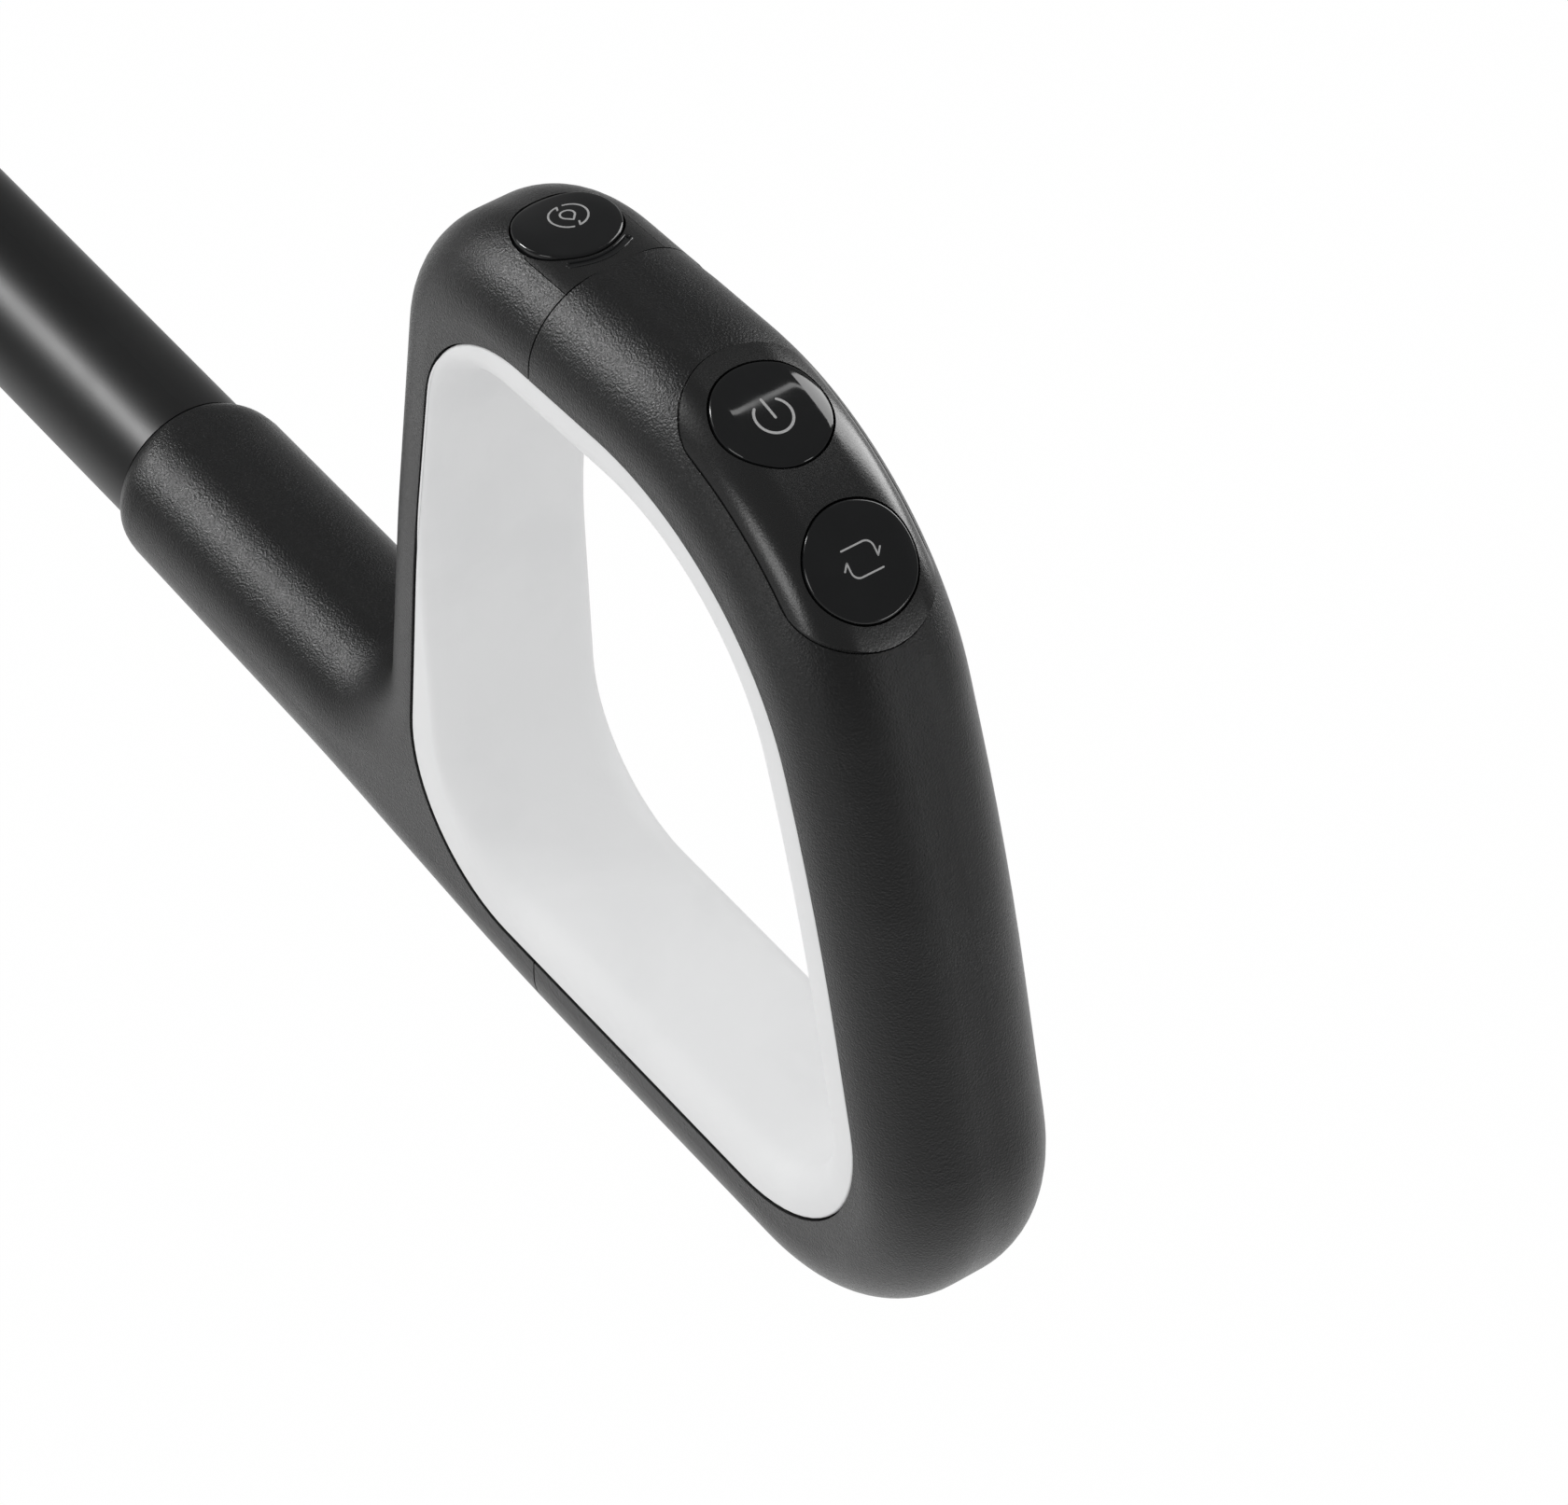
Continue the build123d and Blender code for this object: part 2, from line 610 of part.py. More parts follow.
# ---- liner: one closed ring with two clip ribs on its back ----
liner_half_width = grip_half_width - liner_side_inset
rib_outer = inner_half_width - liner_rib_gap
with BuildPart() as grip_liner:
    add(loop_prism(-liner_gap, liner_half_width))
    add(opening_prism(0, liner_half_width), mode=Mode.SUBTRACT)
    add(flared_lip(1), mode=Mode.SUBTRACT)
    add(flared_lip(-1), mode=Mode.SUBTRACT)
    ribs = loop_prism(liner_rib_height, rib_outer) - loop_prism(-liner_gap - 0.5, rib_outer + 1)
    add(ribs - loop_prism(liner_rib_height + 1, rib_outer - liner_rib_width))
grip_liner.part.label = "grip_liner"
export_step(grip_liner.part, "parts/grip_liner.step")

# ---- control panel and deck ----
with BuildPart() as control_panel:
    add(panel_outline(0, -14, 12) & pillow(-panel_proud))
    add(hollow(panel_depth), mode=Mode.SUBTRACT)
    for plane in (power_plane, mode_plane):
        add(cylinder_on(plane, panel_button_radius + button_gap, -12, 8), mode=Mode.SUBTRACT)
control_panel.part.label = "control_panel"
export_step(control_panel.part, "parts/control_panel.step")

with BuildPart() as clean_deck:
    add(deck_block(0) & deck_surface())
    add(hollow(deck_depth - deck_back_gap), mode=Mode.SUBTRACT)
    add(cylinder_on(clean_plane, clean_button_radius + button_gap, -6, 8), mode=Mode.SUBTRACT)
    add(arc_slot(clean_plane, window_gap, -8, 4), mode=Mode.SUBTRACT)
clean_deck.part.label = "clean_deck"
export_step(clean_deck.part, "parts/clean_deck.step")

with BuildPart() as status_window:
    add(arc_slot(clean_plane, 0, -window_depth, 4) & deck_surface())
status_window.part.label = "status_window"
export_step(status_window.part, "parts/status_window.step")

# ---- buttons ----
with BuildPart() as power_button:
    add(push_button(power_plane, panel_button_radius, pillow(-panel_button_proud), main_board_plane))
power_button.part.label = "power_button"
export_step(power_button.part, "parts/power_button.step")

with BuildPart() as mode_button:
    add(push_button(mode_plane, panel_button_radius, pillow(-panel_button_proud), main_board_plane))
mode_button.part.label = "mode_button"
export_step(mode_button.part, "parts/mode_button.step")

with BuildPart() as clean_button:
    top = rounded_handle(-clean_button_proud, grip_half_width, clean_button_crown_round)
    add(push_button(clean_plane, clean_button_radius, top, clean_board_plane))
    notch_start = clean_board_front - led_inset - led_size
    add(block_on(clean_plane, notch_start, clean_button_radius + 2, 2 * led_size,
                 -button_flange_depth - button_flange - 1, -button_flange_depth + 0.5), mode=Mode.SUBTRACT)
clean_button.part.label = "clean_button"
export_step(clean_button.part, "parts/clean_button.step")

# ---- boards, switches and light ----
with BuildPart() as main_board:
    add(circuit_board(main_board_plane, -main_board_half, main_board_half, 0))
main_board.part.label = "main_board"
export_step(main_board.part, "parts/main_board.step")

with BuildPart() as clean_board:
    add(circuit_board(clean_board_plane, -clean_board_rear, clean_board_front, clean_boss_x))
clean_board.part.label = "clean_board"
export_step(clean_board.part, "parts/clean_board.step")

with BuildPart() as board_screws:
    add(pan_head_screws(board_screw_planes(main_board_plane, 0)
                         + board_screw_planes(clean_board_plane, clean_boss_x)))
board_screws.part.label = "board_screws"
export_step(board_screws.part, "parts/board_screws.step")

with BuildPart() as power_switch:
    add(switch_on(power_switch_plane))
power_switch.part.label = "power_switch"
export_step(power_switch.part, "parts/power_switch.step")

with BuildPart() as mode_switch:
    add(switch_on(mode_switch_plane))
mode_switch.part.label = "mode_switch"
export_step(mode_switch.part, "parts/mode_switch.step")

with BuildPart() as clean_switch:
    add(switch_on(clean_switch_plane))
clean_switch.part.label = "clean_switch"
export_step(clean_switch.part, "parts/clean_switch.step")

with BuildPart() as status_led:
    led_end = clean_board_front - led_inset
    add(block_on(clean_board_plane, led_end - led_size, led_end, led_size, 0, led_height))
status_led.part.label = "status_led"
export_step(status_led.part, "parts/status_led.step")

# ---- looms ----
def board_end(board, x):
    """Middle of a board's edge at x, as a point of the side view."""
    edge = board.origin + board.x_dir * x - board.z_dir * board_thickness / 2
    return Vector(edge.X - loop_datum, edge.Z)


def board_run(board):
    """Direction of a board's length in the side view."""
    return Vector(board.x_dir.X, board.x_dir.Z)


def loom_through(points, rounds):
    """Round loom along straight runs and tangent arcs between points of the side view."""
    with BuildPart(mode=Mode.PRIVATE) as solid:
        with BuildLine() as route:
            FilletPolyline(*[(loop_datum + p.X, 0, p.Y) for p in points], radius=rounds)
        with BuildSketch(Plane(origin=route.line @ 0, z_dir=route.line % 0)):
            Circle(loom_radius)
        sweep(path=route.line)
    return solid.part


clean_rear_end = board_end(clean_board_plane, -clean_board_rear - loom_gap)
clean_front_end = board_end(clean_board_plane, clean_board_front + loom_gap)
main_rear_end = board_end(main_board_plane, -main_board_half - loom_gap)
loom_start = Vector((plug_start - contact_proud) + contact_length + loom_gap - loop_datum, 0)

with BuildPart() as pole_loom:
    last_bend = clean_rear_end - board_run(clean_board_plane) * loom_last_run
    bends = [Vector(x, z) for x, z in loom_bends]
    add(loom_through([loom_start, *bends, last_bend, clean_rear_end], loom_rounds))
pole_loom.part.label = "pole_loom"
export_step(pole_loom.part, "parts/pole_loom.step")

with BuildPart() as panel_loom:
    panel_bend = cross_point(clean_front_end, board_run(clean_board_plane),
                             main_rear_end, board_run(main_board_plane))
    add(loom_through([clean_front_end, panel_bend, main_rear_end], [panel_loom_round]))
panel_loom.part.label = "panel_loom"
export_step(panel_loom.part, "parts/panel_loom.step")
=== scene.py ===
"""Looks of a floor washer's loop handle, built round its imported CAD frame.

The handle is a black closed-loop grip on a round pole. A pale soft liner runs round the inside
of the loop, and three polished push buttons sit on its crown. The scene is in metres, in the
CAD's own frame: +X along the pole towards the loop, +Z up, and the loop lies in the XZ plane.
Sizes of the handle's pieces are written in millimetres.
"""

import json
import logging
import math
from dataclasses import dataclass, replace
from enum import Enum

import bmesh
import bpy
import numpy as np
from mathutils import Matrix, Vector


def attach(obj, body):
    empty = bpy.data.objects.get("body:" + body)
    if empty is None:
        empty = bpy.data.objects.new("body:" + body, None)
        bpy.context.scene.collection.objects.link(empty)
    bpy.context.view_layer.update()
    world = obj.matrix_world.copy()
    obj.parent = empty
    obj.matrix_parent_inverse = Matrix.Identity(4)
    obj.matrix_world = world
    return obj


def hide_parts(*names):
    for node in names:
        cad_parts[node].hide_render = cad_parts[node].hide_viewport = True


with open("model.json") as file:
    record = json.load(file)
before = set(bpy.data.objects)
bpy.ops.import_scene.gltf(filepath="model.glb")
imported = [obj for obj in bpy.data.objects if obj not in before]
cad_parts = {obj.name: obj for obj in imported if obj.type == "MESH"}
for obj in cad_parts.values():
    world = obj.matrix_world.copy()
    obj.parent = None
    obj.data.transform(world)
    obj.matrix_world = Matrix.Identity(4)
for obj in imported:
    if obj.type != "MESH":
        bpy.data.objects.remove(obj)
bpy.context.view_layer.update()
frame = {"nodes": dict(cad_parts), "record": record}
log = logging.getLogger("loop_handle")

MM = 0.001
ROUNDING = 1e-6
LOOP_DATUM = 300.0  # X in millimetres from which the loop's outline is measured
NOISE_RANGE = (0.3, 0.7)  # where most values of a noise lie
LENGTHWAYS = (1.0, 0.0, 0.0)
SIDEWAYS = (0.0, 1.0, 0.0)
UPRIGHT = (0.0, 0.0, 1.0)

Pair = tuple[float, float]
Pairs = tuple[Pair, ...]
Triple = tuple[float, float, float]
Face = tuple[int, ...]
Path = list[Pair]
Stroke = tuple[Path, bool]  # a path, and whether its end joins its start
Materials = dict[str, bpy.types.Material]


# ------------------------------------------------------------------------------
# Shader tools
# ------------------------------------------------------------------------------
class Tree:
    """Short way to write one node tree."""

    def __init__(self, tree: bpy.types.NodeTree) -> None:
        """Keep the tree that the calls add to.

        Args:
            tree: The shader tree of a material, a world or a node group.
        """
        self.tree = tree

    def add(self, kind: str, inputs: dict | None = None, **settings: object) -> bpy.types.Node:
        """Add one node.

        Args:
            kind: Blender's name of the node's type, without "ShaderNode".
            inputs: Socket name or number to a value or to the output that feeds it.
            settings: Attributes of the node itself.

        Returns:
            The new node.
        """
        name = kind if kind.startswith("Node") else "ShaderNode" + kind
        node = self.tree.nodes.new(name)
        for key, value in settings.items():
            setattr(node, key, value)
        for key, value in (inputs or {}).items():
            self.feed(node.inputs[key], value)
        return node

    def feed(self, socket: bpy.types.NodeSocket, value: object) -> None:
        """Give a socket a plain value or a link.

        Args:
            socket: The input socket.
            value: A number, a colour or an output socket.
        """
        if isinstance(value, bpy.types.NodeSocket):
            self.tree.links.new(value, socket)
        else:
            socket.default_value = value

    def math(self, operation: str, a: object, b: object = 0.0,
             clamp: bool = False) -> bpy.types.NodeSocket:
        """Add a Math node.

        Args:
            operation: Blender's name of the operation.
            a: First number or output.
            b: Second number or output.
            clamp: Whether the result is kept between 0 and 1.

        Returns:
            The node's output.
        """
        return self.add("Math", {0: a, 1: b}, operation=operation, use_clamp=clamp).outputs[0]

    def line(self, value: object, slope: float, start: object) -> bpy.types.NodeSocket:
        """Give the start plus the slope times a value."""
        return self.math("ADD", self.math("MULTIPLY", value, slope), start)

    def bump(self, height: object, depth: float, strength: float = 1.0) -> bpy.types.NodeSocket:
        """Give the normal of a surface whose height is given in shares of a depth."""
        inputs = {"Height": height, "Distance": depth, "Strength": strength}
        return self.add("Bump", inputs).outputs[0]

    def noise(self, place: object, scale: object, detail: float, roughness: float = 0.5,
              distortion: float = 0.0) -> bpy.types.NodeSocket:
        """Add a noise.

        Args:
            place: Where it is sampled.
            scale: Features per metre.
            detail: Number of finer layers.
            roughness: How strong the finer layers are.
            distortion: How far it is warped.

        Returns:
            Its value.
        """
        inputs = {"Vector": place, "Scale": scale, "Detail": detail, "Roughness": roughness,
                  "Distortion": distortion}
        return self.add("TexNoise", inputs).outputs["Fac"]

    def group(self, group: bpy.types.NodeTree, **values: float) -> dict:
        """Add a node group.

        Args:
            group: The group.
            values: Input name, with a capital first letter, to its value.

        Returns:
            Its outputs by name.
        """
        return self.add("Group", values, node_tree=group).outputs

    def ramp(self, value: object, low: float, high: float, to_low: float = 0.0,
             to_high: float = 1.0) -> bpy.types.NodeSocket:
        """Map a value smoothly from one range to another.

        Args:
            value: The output to map.
            low: Value that becomes to_low.
            high: Value that becomes to_high.
            to_low: Result at low.
            to_high: Result at high.

        Returns:
            The mapped value.
        """
        node = self.add("MapRange", {"Value": value, "From Min": low, "From Max": high,
                                     "To Min": to_low, "To Max": to_high},
                        interpolation_type="SMOOTHSTEP")
        return node.outputs["Result"]

    def mix(self, share: object, a: object, b: object) -> bpy.types.NodeSocket:
        """Mix two colours.

        Args:
            share: Share of the second colour.
            a: First colour.
            b: Second colour.

        Returns:
            The mixed colour.
        """
        return self.add("Mix", {0: share, 6: a, 7: b}, data_type="RGBA").outputs[2]


def grey(value: float, tint: float = 0.0) -> tuple[float, float, float, float]:
    """Make a near-neutral linear colour.

    Args:
        value: Lightness, 0 to 1.
        tint: How much bluer than neutral, as a share of the value.

    Returns:
        Red, green, blue and alpha.
    """
    return (value * (1 - tint), value, value * (1 + tint), 1.0)


def cleared_tree(owner: bpy.types.Material | bpy.types.World) -> Tree:
    """Give a material or a world an empty tree."""
    owner.use_nodes = True
    owner.node_tree.nodes.clear()
    return Tree(owner.node_tree)


def new_group(name: str, inputs: dict[str, float], *outputs: str) -> tuple[Tree, dict, dict]:
    """Make an empty shader node group with its sockets.

    Args:
        name: The group's name.
        inputs: Name and default value of each number that it takes.
        outputs: Name of each number that it puts out.

    Returns:
        The tree to fill, its input sockets by name, and its output sockets by name.
    """
    group = bpy.data.node_groups.new(name, "ShaderNodeTree")
    for key, value in inputs.items():
        socket = group.interface.new_socket(key, in_out="INPUT", socket_type="NodeSocketFloat")
        socket.default_value = value
    for key in outputs:
        group.interface.new_socket(key, in_out="OUTPUT", socket_type="NodeSocketFloat")
    tree = Tree(group)
    return tree, tree.add("NodeGroupInput").outputs, tree.add("NodeGroupOutput").inputs


def object_place(tree: Tree) -> bpy.types.NodeSocket:
    """Give the surface point in the piece's own coordinates, in metres."""
    return tree.add("TexCoord").outputs["Object"]


def mould_grain_group() -> bpy.types.NodeTree:
    """Build the fine spark-eroded grain of a mould, as on the shells and the panel.

    Returns:
        The node group. It puts out a height for bump and a roughness share.
    """
    pit_share, fine_share, fineness = 0.55, 0.75, 1.3
    tree, given, wanted = new_group("mould_grain", {"Size": 0.0004, "Depth": 1.0},
                                    "Height", "Spread")
    place, scale = object_place(tree), tree.math("DIVIDE", 1.0, given["Size"])
    pits = tree.add("TexVoronoi", {"Vector": place, "Scale": scale, "Smoothness": 0.7},
                    feature="SMOOTH_F1").outputs["Distance"]
    fine = tree.noise(place, tree.math("MULTIPLY", scale, fineness), 3.0, 0.62)
    height = tree.line(pits, pit_share, tree.math("MULTIPLY", fine, fine_share))
    tree.feed(wanted["Height"], tree.math("MULTIPLY", height, given["Depth"]))
    tree.feed(wanted["Spread"], tree.ramp(fine, *NOISE_RANGE))
    return tree.tree


def handling_group() -> bpy.types.NodeTree:
    """Build the faint cloudy marks that hands and wiping leave on a surface.

    Returns:
        The node group. It puts out a mask of the marks and a slow shift of tone.
    """
    cloud_edges, streak_edges, streaks_per_metre = (0.42, 0.68), (0.45, 0.75), (9.0, 60.0, 60.0)
    tree, given, wanted = new_group("handling", {"Size": 0.03, "Streak": 0.3}, "Marks", "Tone")
    place, scale = object_place(tree), tree.math("DIVIDE", 1.0, given["Size"])
    clouds = tree.noise(place, scale, 4.0, 0.55, 0.4)
    stretched = tree.add("Mapping", {"Vector": place, "Scale": streaks_per_metre}).outputs[0]
    streaks = tree.ramp(tree.noise(stretched, 1.0, 3.0, 0.6), *streak_edges)
    marks = tree.math("MAXIMUM", tree.ramp(clouds, *cloud_edges),
                      tree.math("MULTIPLY", streaks, given["Streak"]))
    tree.feed(wanted["Marks"], marks)
    tree.feed(wanted["Tone"], clouds)
    return tree.tree


def edge_group() -> bpy.types.NodeTree:
    """Build a mask of convex edges, where handling polishes a surface first.

    Returns:
        The node group. It puts out the share of wear.
    """
    breakup_edges = (0.35, 0.6)
    tree, given, wanted = new_group("edge_polish", {"Start": 0.52, "End": 0.62, "Breakup": 0.002},
                                    "Wear")
    scale = tree.math("DIVIDE", 1.0, given["Breakup"])
    breakup = tree.ramp(tree.noise(object_place(tree), scale, 3.0), *breakup_edges)
    point = tree.add("NewGeometry").outputs["Pointiness"]
    sharp = tree.add("MapRange", {"Value": point, "From Min": given["Start"],
                                  "From Max": given["End"]}).outputs["Result"]
    tree.feed(wanted["Wear"], tree.math("MULTIPLY", sharp, breakup))
    return tree.tree


def brushed_group() -> bpy.types.NodeTree:
    """Build the fine turning or drawing lines of a metal surface.

    Returns:
        The node group. It puts out a height for bump and a roughness share.
    """
    along_lines = (0.06, 1.0, 1.0)
    tree, given, wanted = new_group("metal_lines", {"Size": 0.0003}, "Height", "Spread")
    scale = tree.math("DIVIDE", 1.0, given["Size"])
    drawn = tree.add("VectorMath", {0: object_place(tree), 1: along_lines}, operation="MULTIPLY")
    lines = tree.noise(drawn.outputs[0], scale, 5.0, 0.7)
    tree.feed(wanted["Height"], lines)
    tree.feed(wanted["Spread"], tree.ramp(lines, *NOISE_RANGE))
    return tree.tree


class Effects:
    """The shader node groups, each made once."""

    def __init__(self) -> None:
        """Build every group."""
        self.grain = mould_grain_group()
        self.handling = handling_group()
        self.edge = edge_group()
        self.lines = brushed_group()


EFFECTS = Effects()


# ------------------------------------------------------------------------------
# Finishes
# ------------------------------------------------------------------------------
@dataclass(frozen=True)
class Finish:
    """A finish of the handle, which says what feeds its shader."""

    name: str

    def inputs(self, tree: Tree) -> dict[str, object]:
        """Give the inputs of the Principled BSDF that the finish sets.

        Args:
            tree: The material's tree, which takes the nodes that feed them.

        Returns:
            Input name to its value or to the output that feeds it.
        """
        raise NotImplementedError

    def material(self) -> bpy.types.Material:
        """Build the material."""
        made = bpy.data.materials.new(self.name)
        tree = cleared_tree(made)
        shader = tree.add("BsdfPrincipled", self.inputs(tree))
        tree.add("OutputMaterial", {"Surface": shader.outputs[0]})
        return made


@dataclass(frozen=True)
class MouldedPlastic(Finish):
    """Black moulded plastic with the mould's fine grain and faint marks of handling."""

    base: float = 0.0072
    marked: float = 0.011
    roughness: float = 0.29
    roughness_spread: float = 0.08
    polish: float = 0.04
    specular: float = 0.38
    grain: float = 0.0004
    grain_depth: float = 0.00012
    marks: float = 0.035
    streak: float = 0.35
    tint: float = 0.02

    def inputs(self, tree: Tree) -> dict[str, object]:
        """Give what feeds the shader."""
        grain = tree.group(EFFECTS.grain, Size=self.grain, Depth=1.0)
        marks = tree.group(EFFECTS.handling, Size=self.marks, Streak=self.streak)
        edge = tree.group(EFFECTS.edge)
        worn = tree.math("MAXIMUM", marks["Marks"], edge["Wear"])
        colour = tree.mix(worn, grey(self.base, self.tint), grey(self.marked, self.tint))
        polish = tree.math("MULTIPLY", worn, -self.polish)
        spread = tree.line(grain["Spread"], self.roughness_spread, polish)
        rough = tree.math("ADD", spread, self.roughness, clamp=True)
        normal = tree.bump(grain["Height"], self.grain_depth)
        return {"Base Color": colour, "Roughness": rough, "Normal": normal,
                "Specular IOR Level": self.specular}


@dataclass(frozen=True)
class PaintedPole(Finish):
    """Smooth satin black powder coat with a slight orange peel along the tube."""

    base: float = 0.0062
    lighter: float = 1.5
    tint: float = 0.03
    roughness: float = 0.37
    marked_roughness: float = 0.06
    specular: float = 0.38
    peel: float = 0.0011
    peel_depth: float = 0.000005
    grain: float = 0.0005
    grain_share: float = 0.25
    marks: float = 0.05
    streak: float = 0.6

    def inputs(self, tree: Tree) -> dict[str, object]:
        """Give what feeds the shader."""
        peel = tree.noise(object_place(tree), 1 / self.peel, 2.0)
        fine = tree.group(EFFECTS.grain, Size=self.grain, Depth=self.grain_share)
        marks = tree.group(EFFECTS.handling, Size=self.marks, Streak=self.streak)
        colour = tree.mix(marks["Tone"], grey(self.base, self.tint),
                          grey(self.base * self.lighter, self.tint))
        rough = tree.line(marks["Marks"], self.marked_roughness, self.roughness)
        height = tree.math("ADD", peel, fine["Height"])
        normal = tree.bump(height, self.peel_depth)
        return {"Base Color": colour, "Roughness": rough, "Normal": normal,
                "Specular IOR Level": self.specular}


@dataclass(frozen=True)
class SoftTouchRubber(Finish):
    """Pale matt rubber of the grip's liner: fine dull skin with a faint grey bloom."""

    base: float = 0.80
    base_tint: float = 0.004
    bloomed: float = 0.755
    bloomed_tint: float = 0.006
    bloom_share: float = 0.6
    roughness: float = 0.62
    roughness_spread: float = 0.1
    sheen: float = 0.08
    specular: float = 0.3
    skin: float = 0.0005
    skin_share: float = 0.8
    skin_depth: float = 0.000012
    bloom: float = 0.028
    streak: float = 0.15

    def inputs(self, tree: Tree) -> dict[str, object]:
        """Give what feeds the shader."""
        skin = tree.group(EFFECTS.grain, Size=self.skin, Depth=self.skin_share)
        bloom = tree.group(EFFECTS.handling, Size=self.bloom, Streak=self.streak)
        share = tree.math("MULTIPLY", bloom["Marks"], self.bloom_share)
        colour = tree.mix(share, grey(self.base, self.base_tint),
                          grey(self.bloomed, self.bloomed_tint))
        rough = tree.line(skin["Spread"], self.roughness_spread, self.roughness)
        normal = tree.bump(skin["Height"], self.skin_depth)
        return {"Base Color": colour, "Roughness": rough, "Normal": normal,
                "Specular IOR Level": self.specular, "Sheen Weight": self.sheen}


@dataclass(frozen=True)
class PolishedPlastic(Finish):
    """Polished black plastic with hairline swirls that only show in a reflection."""

    base: float = 0.0065
    lighter: float = 1.6
    tint: float = 0.04
    roughness: float = 0.05
    marked_roughness: float = 0.045
    specular: float = 0.42
    swirl: float = 0.0009
    swirl_depth: float = 0.0000006
    marks: float = 0.009
    streak: float = 0.5

    def inputs(self, tree: Tree) -> dict[str, object]:
        """Give what feeds the shader."""
        marks = tree.group(EFFECTS.handling, Size=self.marks, Streak=self.streak)
        lines = tree.group(EFFECTS.lines, Size=self.swirl)
        colour = tree.mix(marks["Tone"], grey(self.base, self.tint),
                          grey(self.base * self.lighter, self.tint))
        rough = tree.line(marks["Marks"], self.marked_roughness, self.roughness)
        normal = tree.bump(lines["Height"], self.swirl_depth)
        return {"Base Color": colour, "Roughness": rough, "Normal": normal,
                "Specular IOR Level": self.specular}


@dataclass(frozen=True)
class PrintedInk(Finish):
    """Thin grey printing of the button symbols, slightly broken by its screen."""

    base: float = 0.33
    thin: float = 0.86
    full: float = 1.1
    roughness: float = 0.5
    roughness_spread: float = 0.12
    screen: float = 0.00022
    depth: float = 0.000003
    strength: float = 0.6

    def inputs(self, tree: Tree) -> dict[str, object]:
        """Give what feeds the shader."""
        screen = tree.group(EFFECTS.grain, Size=self.screen, Depth=1.0)
        colour = tree.mix(screen["Spread"], grey(self.base * self.thin),
                          grey(self.base * self.full))
        rough = tree.line(screen["Spread"], self.roughness_spread, self.roughness)
        normal = tree.bump(screen["Height"], self.depth, self.strength)
        return {"Base Color": colour, "Roughness": rough, "Normal": normal}


@dataclass(frozen=True)
class PlainMetal(Finish):
    """Drawn or turned metal: screws and contacts."""

    colour: Triple
    roughness: float = 0.3
    roughness_spread: float = 0.15
    tarnish: float = 0.7
    lines: float = 0.00025
    lines_depth: float = 0.000004
    lines_strength: float = 0.8
    marks: float = 0.004
    streak: float = 0.4

    def inputs(self, tree: Tree) -> dict[str, object]:
        """Give what feeds the shader."""
        lines = tree.group(EFFECTS.lines, Size=self.lines)
        marks = tree.group(EFFECTS.handling, Size=self.marks, Streak=self.streak)
        dull = tuple(part * self.tarnish for part in self.colour)
        colour = tree.mix(marks["Marks"], (*self.colour, 1.0), (*dull, 1.0))
        rough = tree.line(lines["Spread"], self.roughness_spread, self.roughness)
        normal = tree.bump(lines["Height"], self.lines_depth, self.lines_strength)
        return {"Base Color": colour, "Roughness": rough, "Normal": normal, "Metallic": 1.0}


@dataclass(frozen=True)
class SolderResist(Finish):
    """Green circuit board with faint tracks under its lacquer."""

    base: Triple = (0.012, 0.09, 0.035)
    track: Triple = (0.03, 0.17, 0.06)
    tracks_per_metre: float = 420.0
    track_gap: float = 0.06
    track_depth: float = 0.00002
    roughness: float = 0.25
    marked_roughness: float = 0.15
    marks: float = 0.006
    streak: float = 0.2

    def inputs(self, tree: Tree) -> dict[str, object]:
        """Give what feeds the shader."""
        tracks = tree.add("TexBrick", {"Vector": object_place(tree), "Scale": self.tracks_per_metre,
                                       "Mortar Size": self.track_gap})
        marks = tree.group(EFFECTS.handling, Size=self.marks, Streak=self.streak)
        colour = tree.mix(tracks.outputs["Fac"], (*self.base, 1.0), (*self.track, 1.0))
        rough = tree.line(marks["Marks"], self.marked_roughness, self.roughness)
        normal = tree.bump(tracks.outputs["Fac"], self.track_depth)
        return {"Base Color": colour, "Roughness": rough, "Normal": normal}


@dataclass(frozen=True)
class DiffusedLens(Finish):
    """Milky lens of the status light."""

    milky: Triple = (0.85, 0.84, 0.76)
    darker: Triple = (0.7, 0.7, 0.64)
    roughness: float = 0.25
    marks: float = 0.001
    streak: float = 0.2

    def inputs(self, tree: Tree) -> dict[str, object]:
        """Give what feeds the shader."""
        marks = tree.group(EFFECTS.handling, Size=self.marks, Streak=self.streak)
        colour = tree.mix(marks["Tone"], (*self.milky, 1.0), (*self.darker, 1.0))
        return {"Base Color": colour, "Roughness": self.roughness}


# the record's material slots, and the ink of the symbols on the buttons
FINISHES = {
    "pole": PaintedPole("satin_black_coat"),
    "shell": MouldedPlastic("spark_eroded_black"),
    "panel": MouldedPlastic("fine_satin_black", base=0.0065, marked=0.009, roughness=0.25,
                            grain_depth=0.00002, specular=0.6),
    "inner_plastic": MouldedPlastic("inner_black", roughness=0.5),
    "sleeve": MouldedPlastic("glass_filled_black", roughness=0.55, grain=0.0008,
                             grain_depth=0.00004),
    "liner": SoftTouchRubber("pale_soft_rubber"),
    "window": PolishedPlastic("smoked_window", base=0.01, roughness=0.08),
    "buttons": PolishedPlastic("polished_black"),
    "switches": MouldedPlastic("switch_black", roughness=0.38, grain_depth=0.00001),
    "loom": MouldedPlastic("loom_sheath", roughness=0.6, grain=0.0007),
    "screws": PlainMetal("dark_zinc", (0.2, 0.2, 0.205), 0.3),
    "contacts": PlainMetal("bright_brass", (0.78, 0.58, 0.26), 0.22),
    "board": SolderResist("solder_resist"),
    "led": DiffusedLens("milky_lens"),
    "ink": PrintedInk("grey_ink"),
}


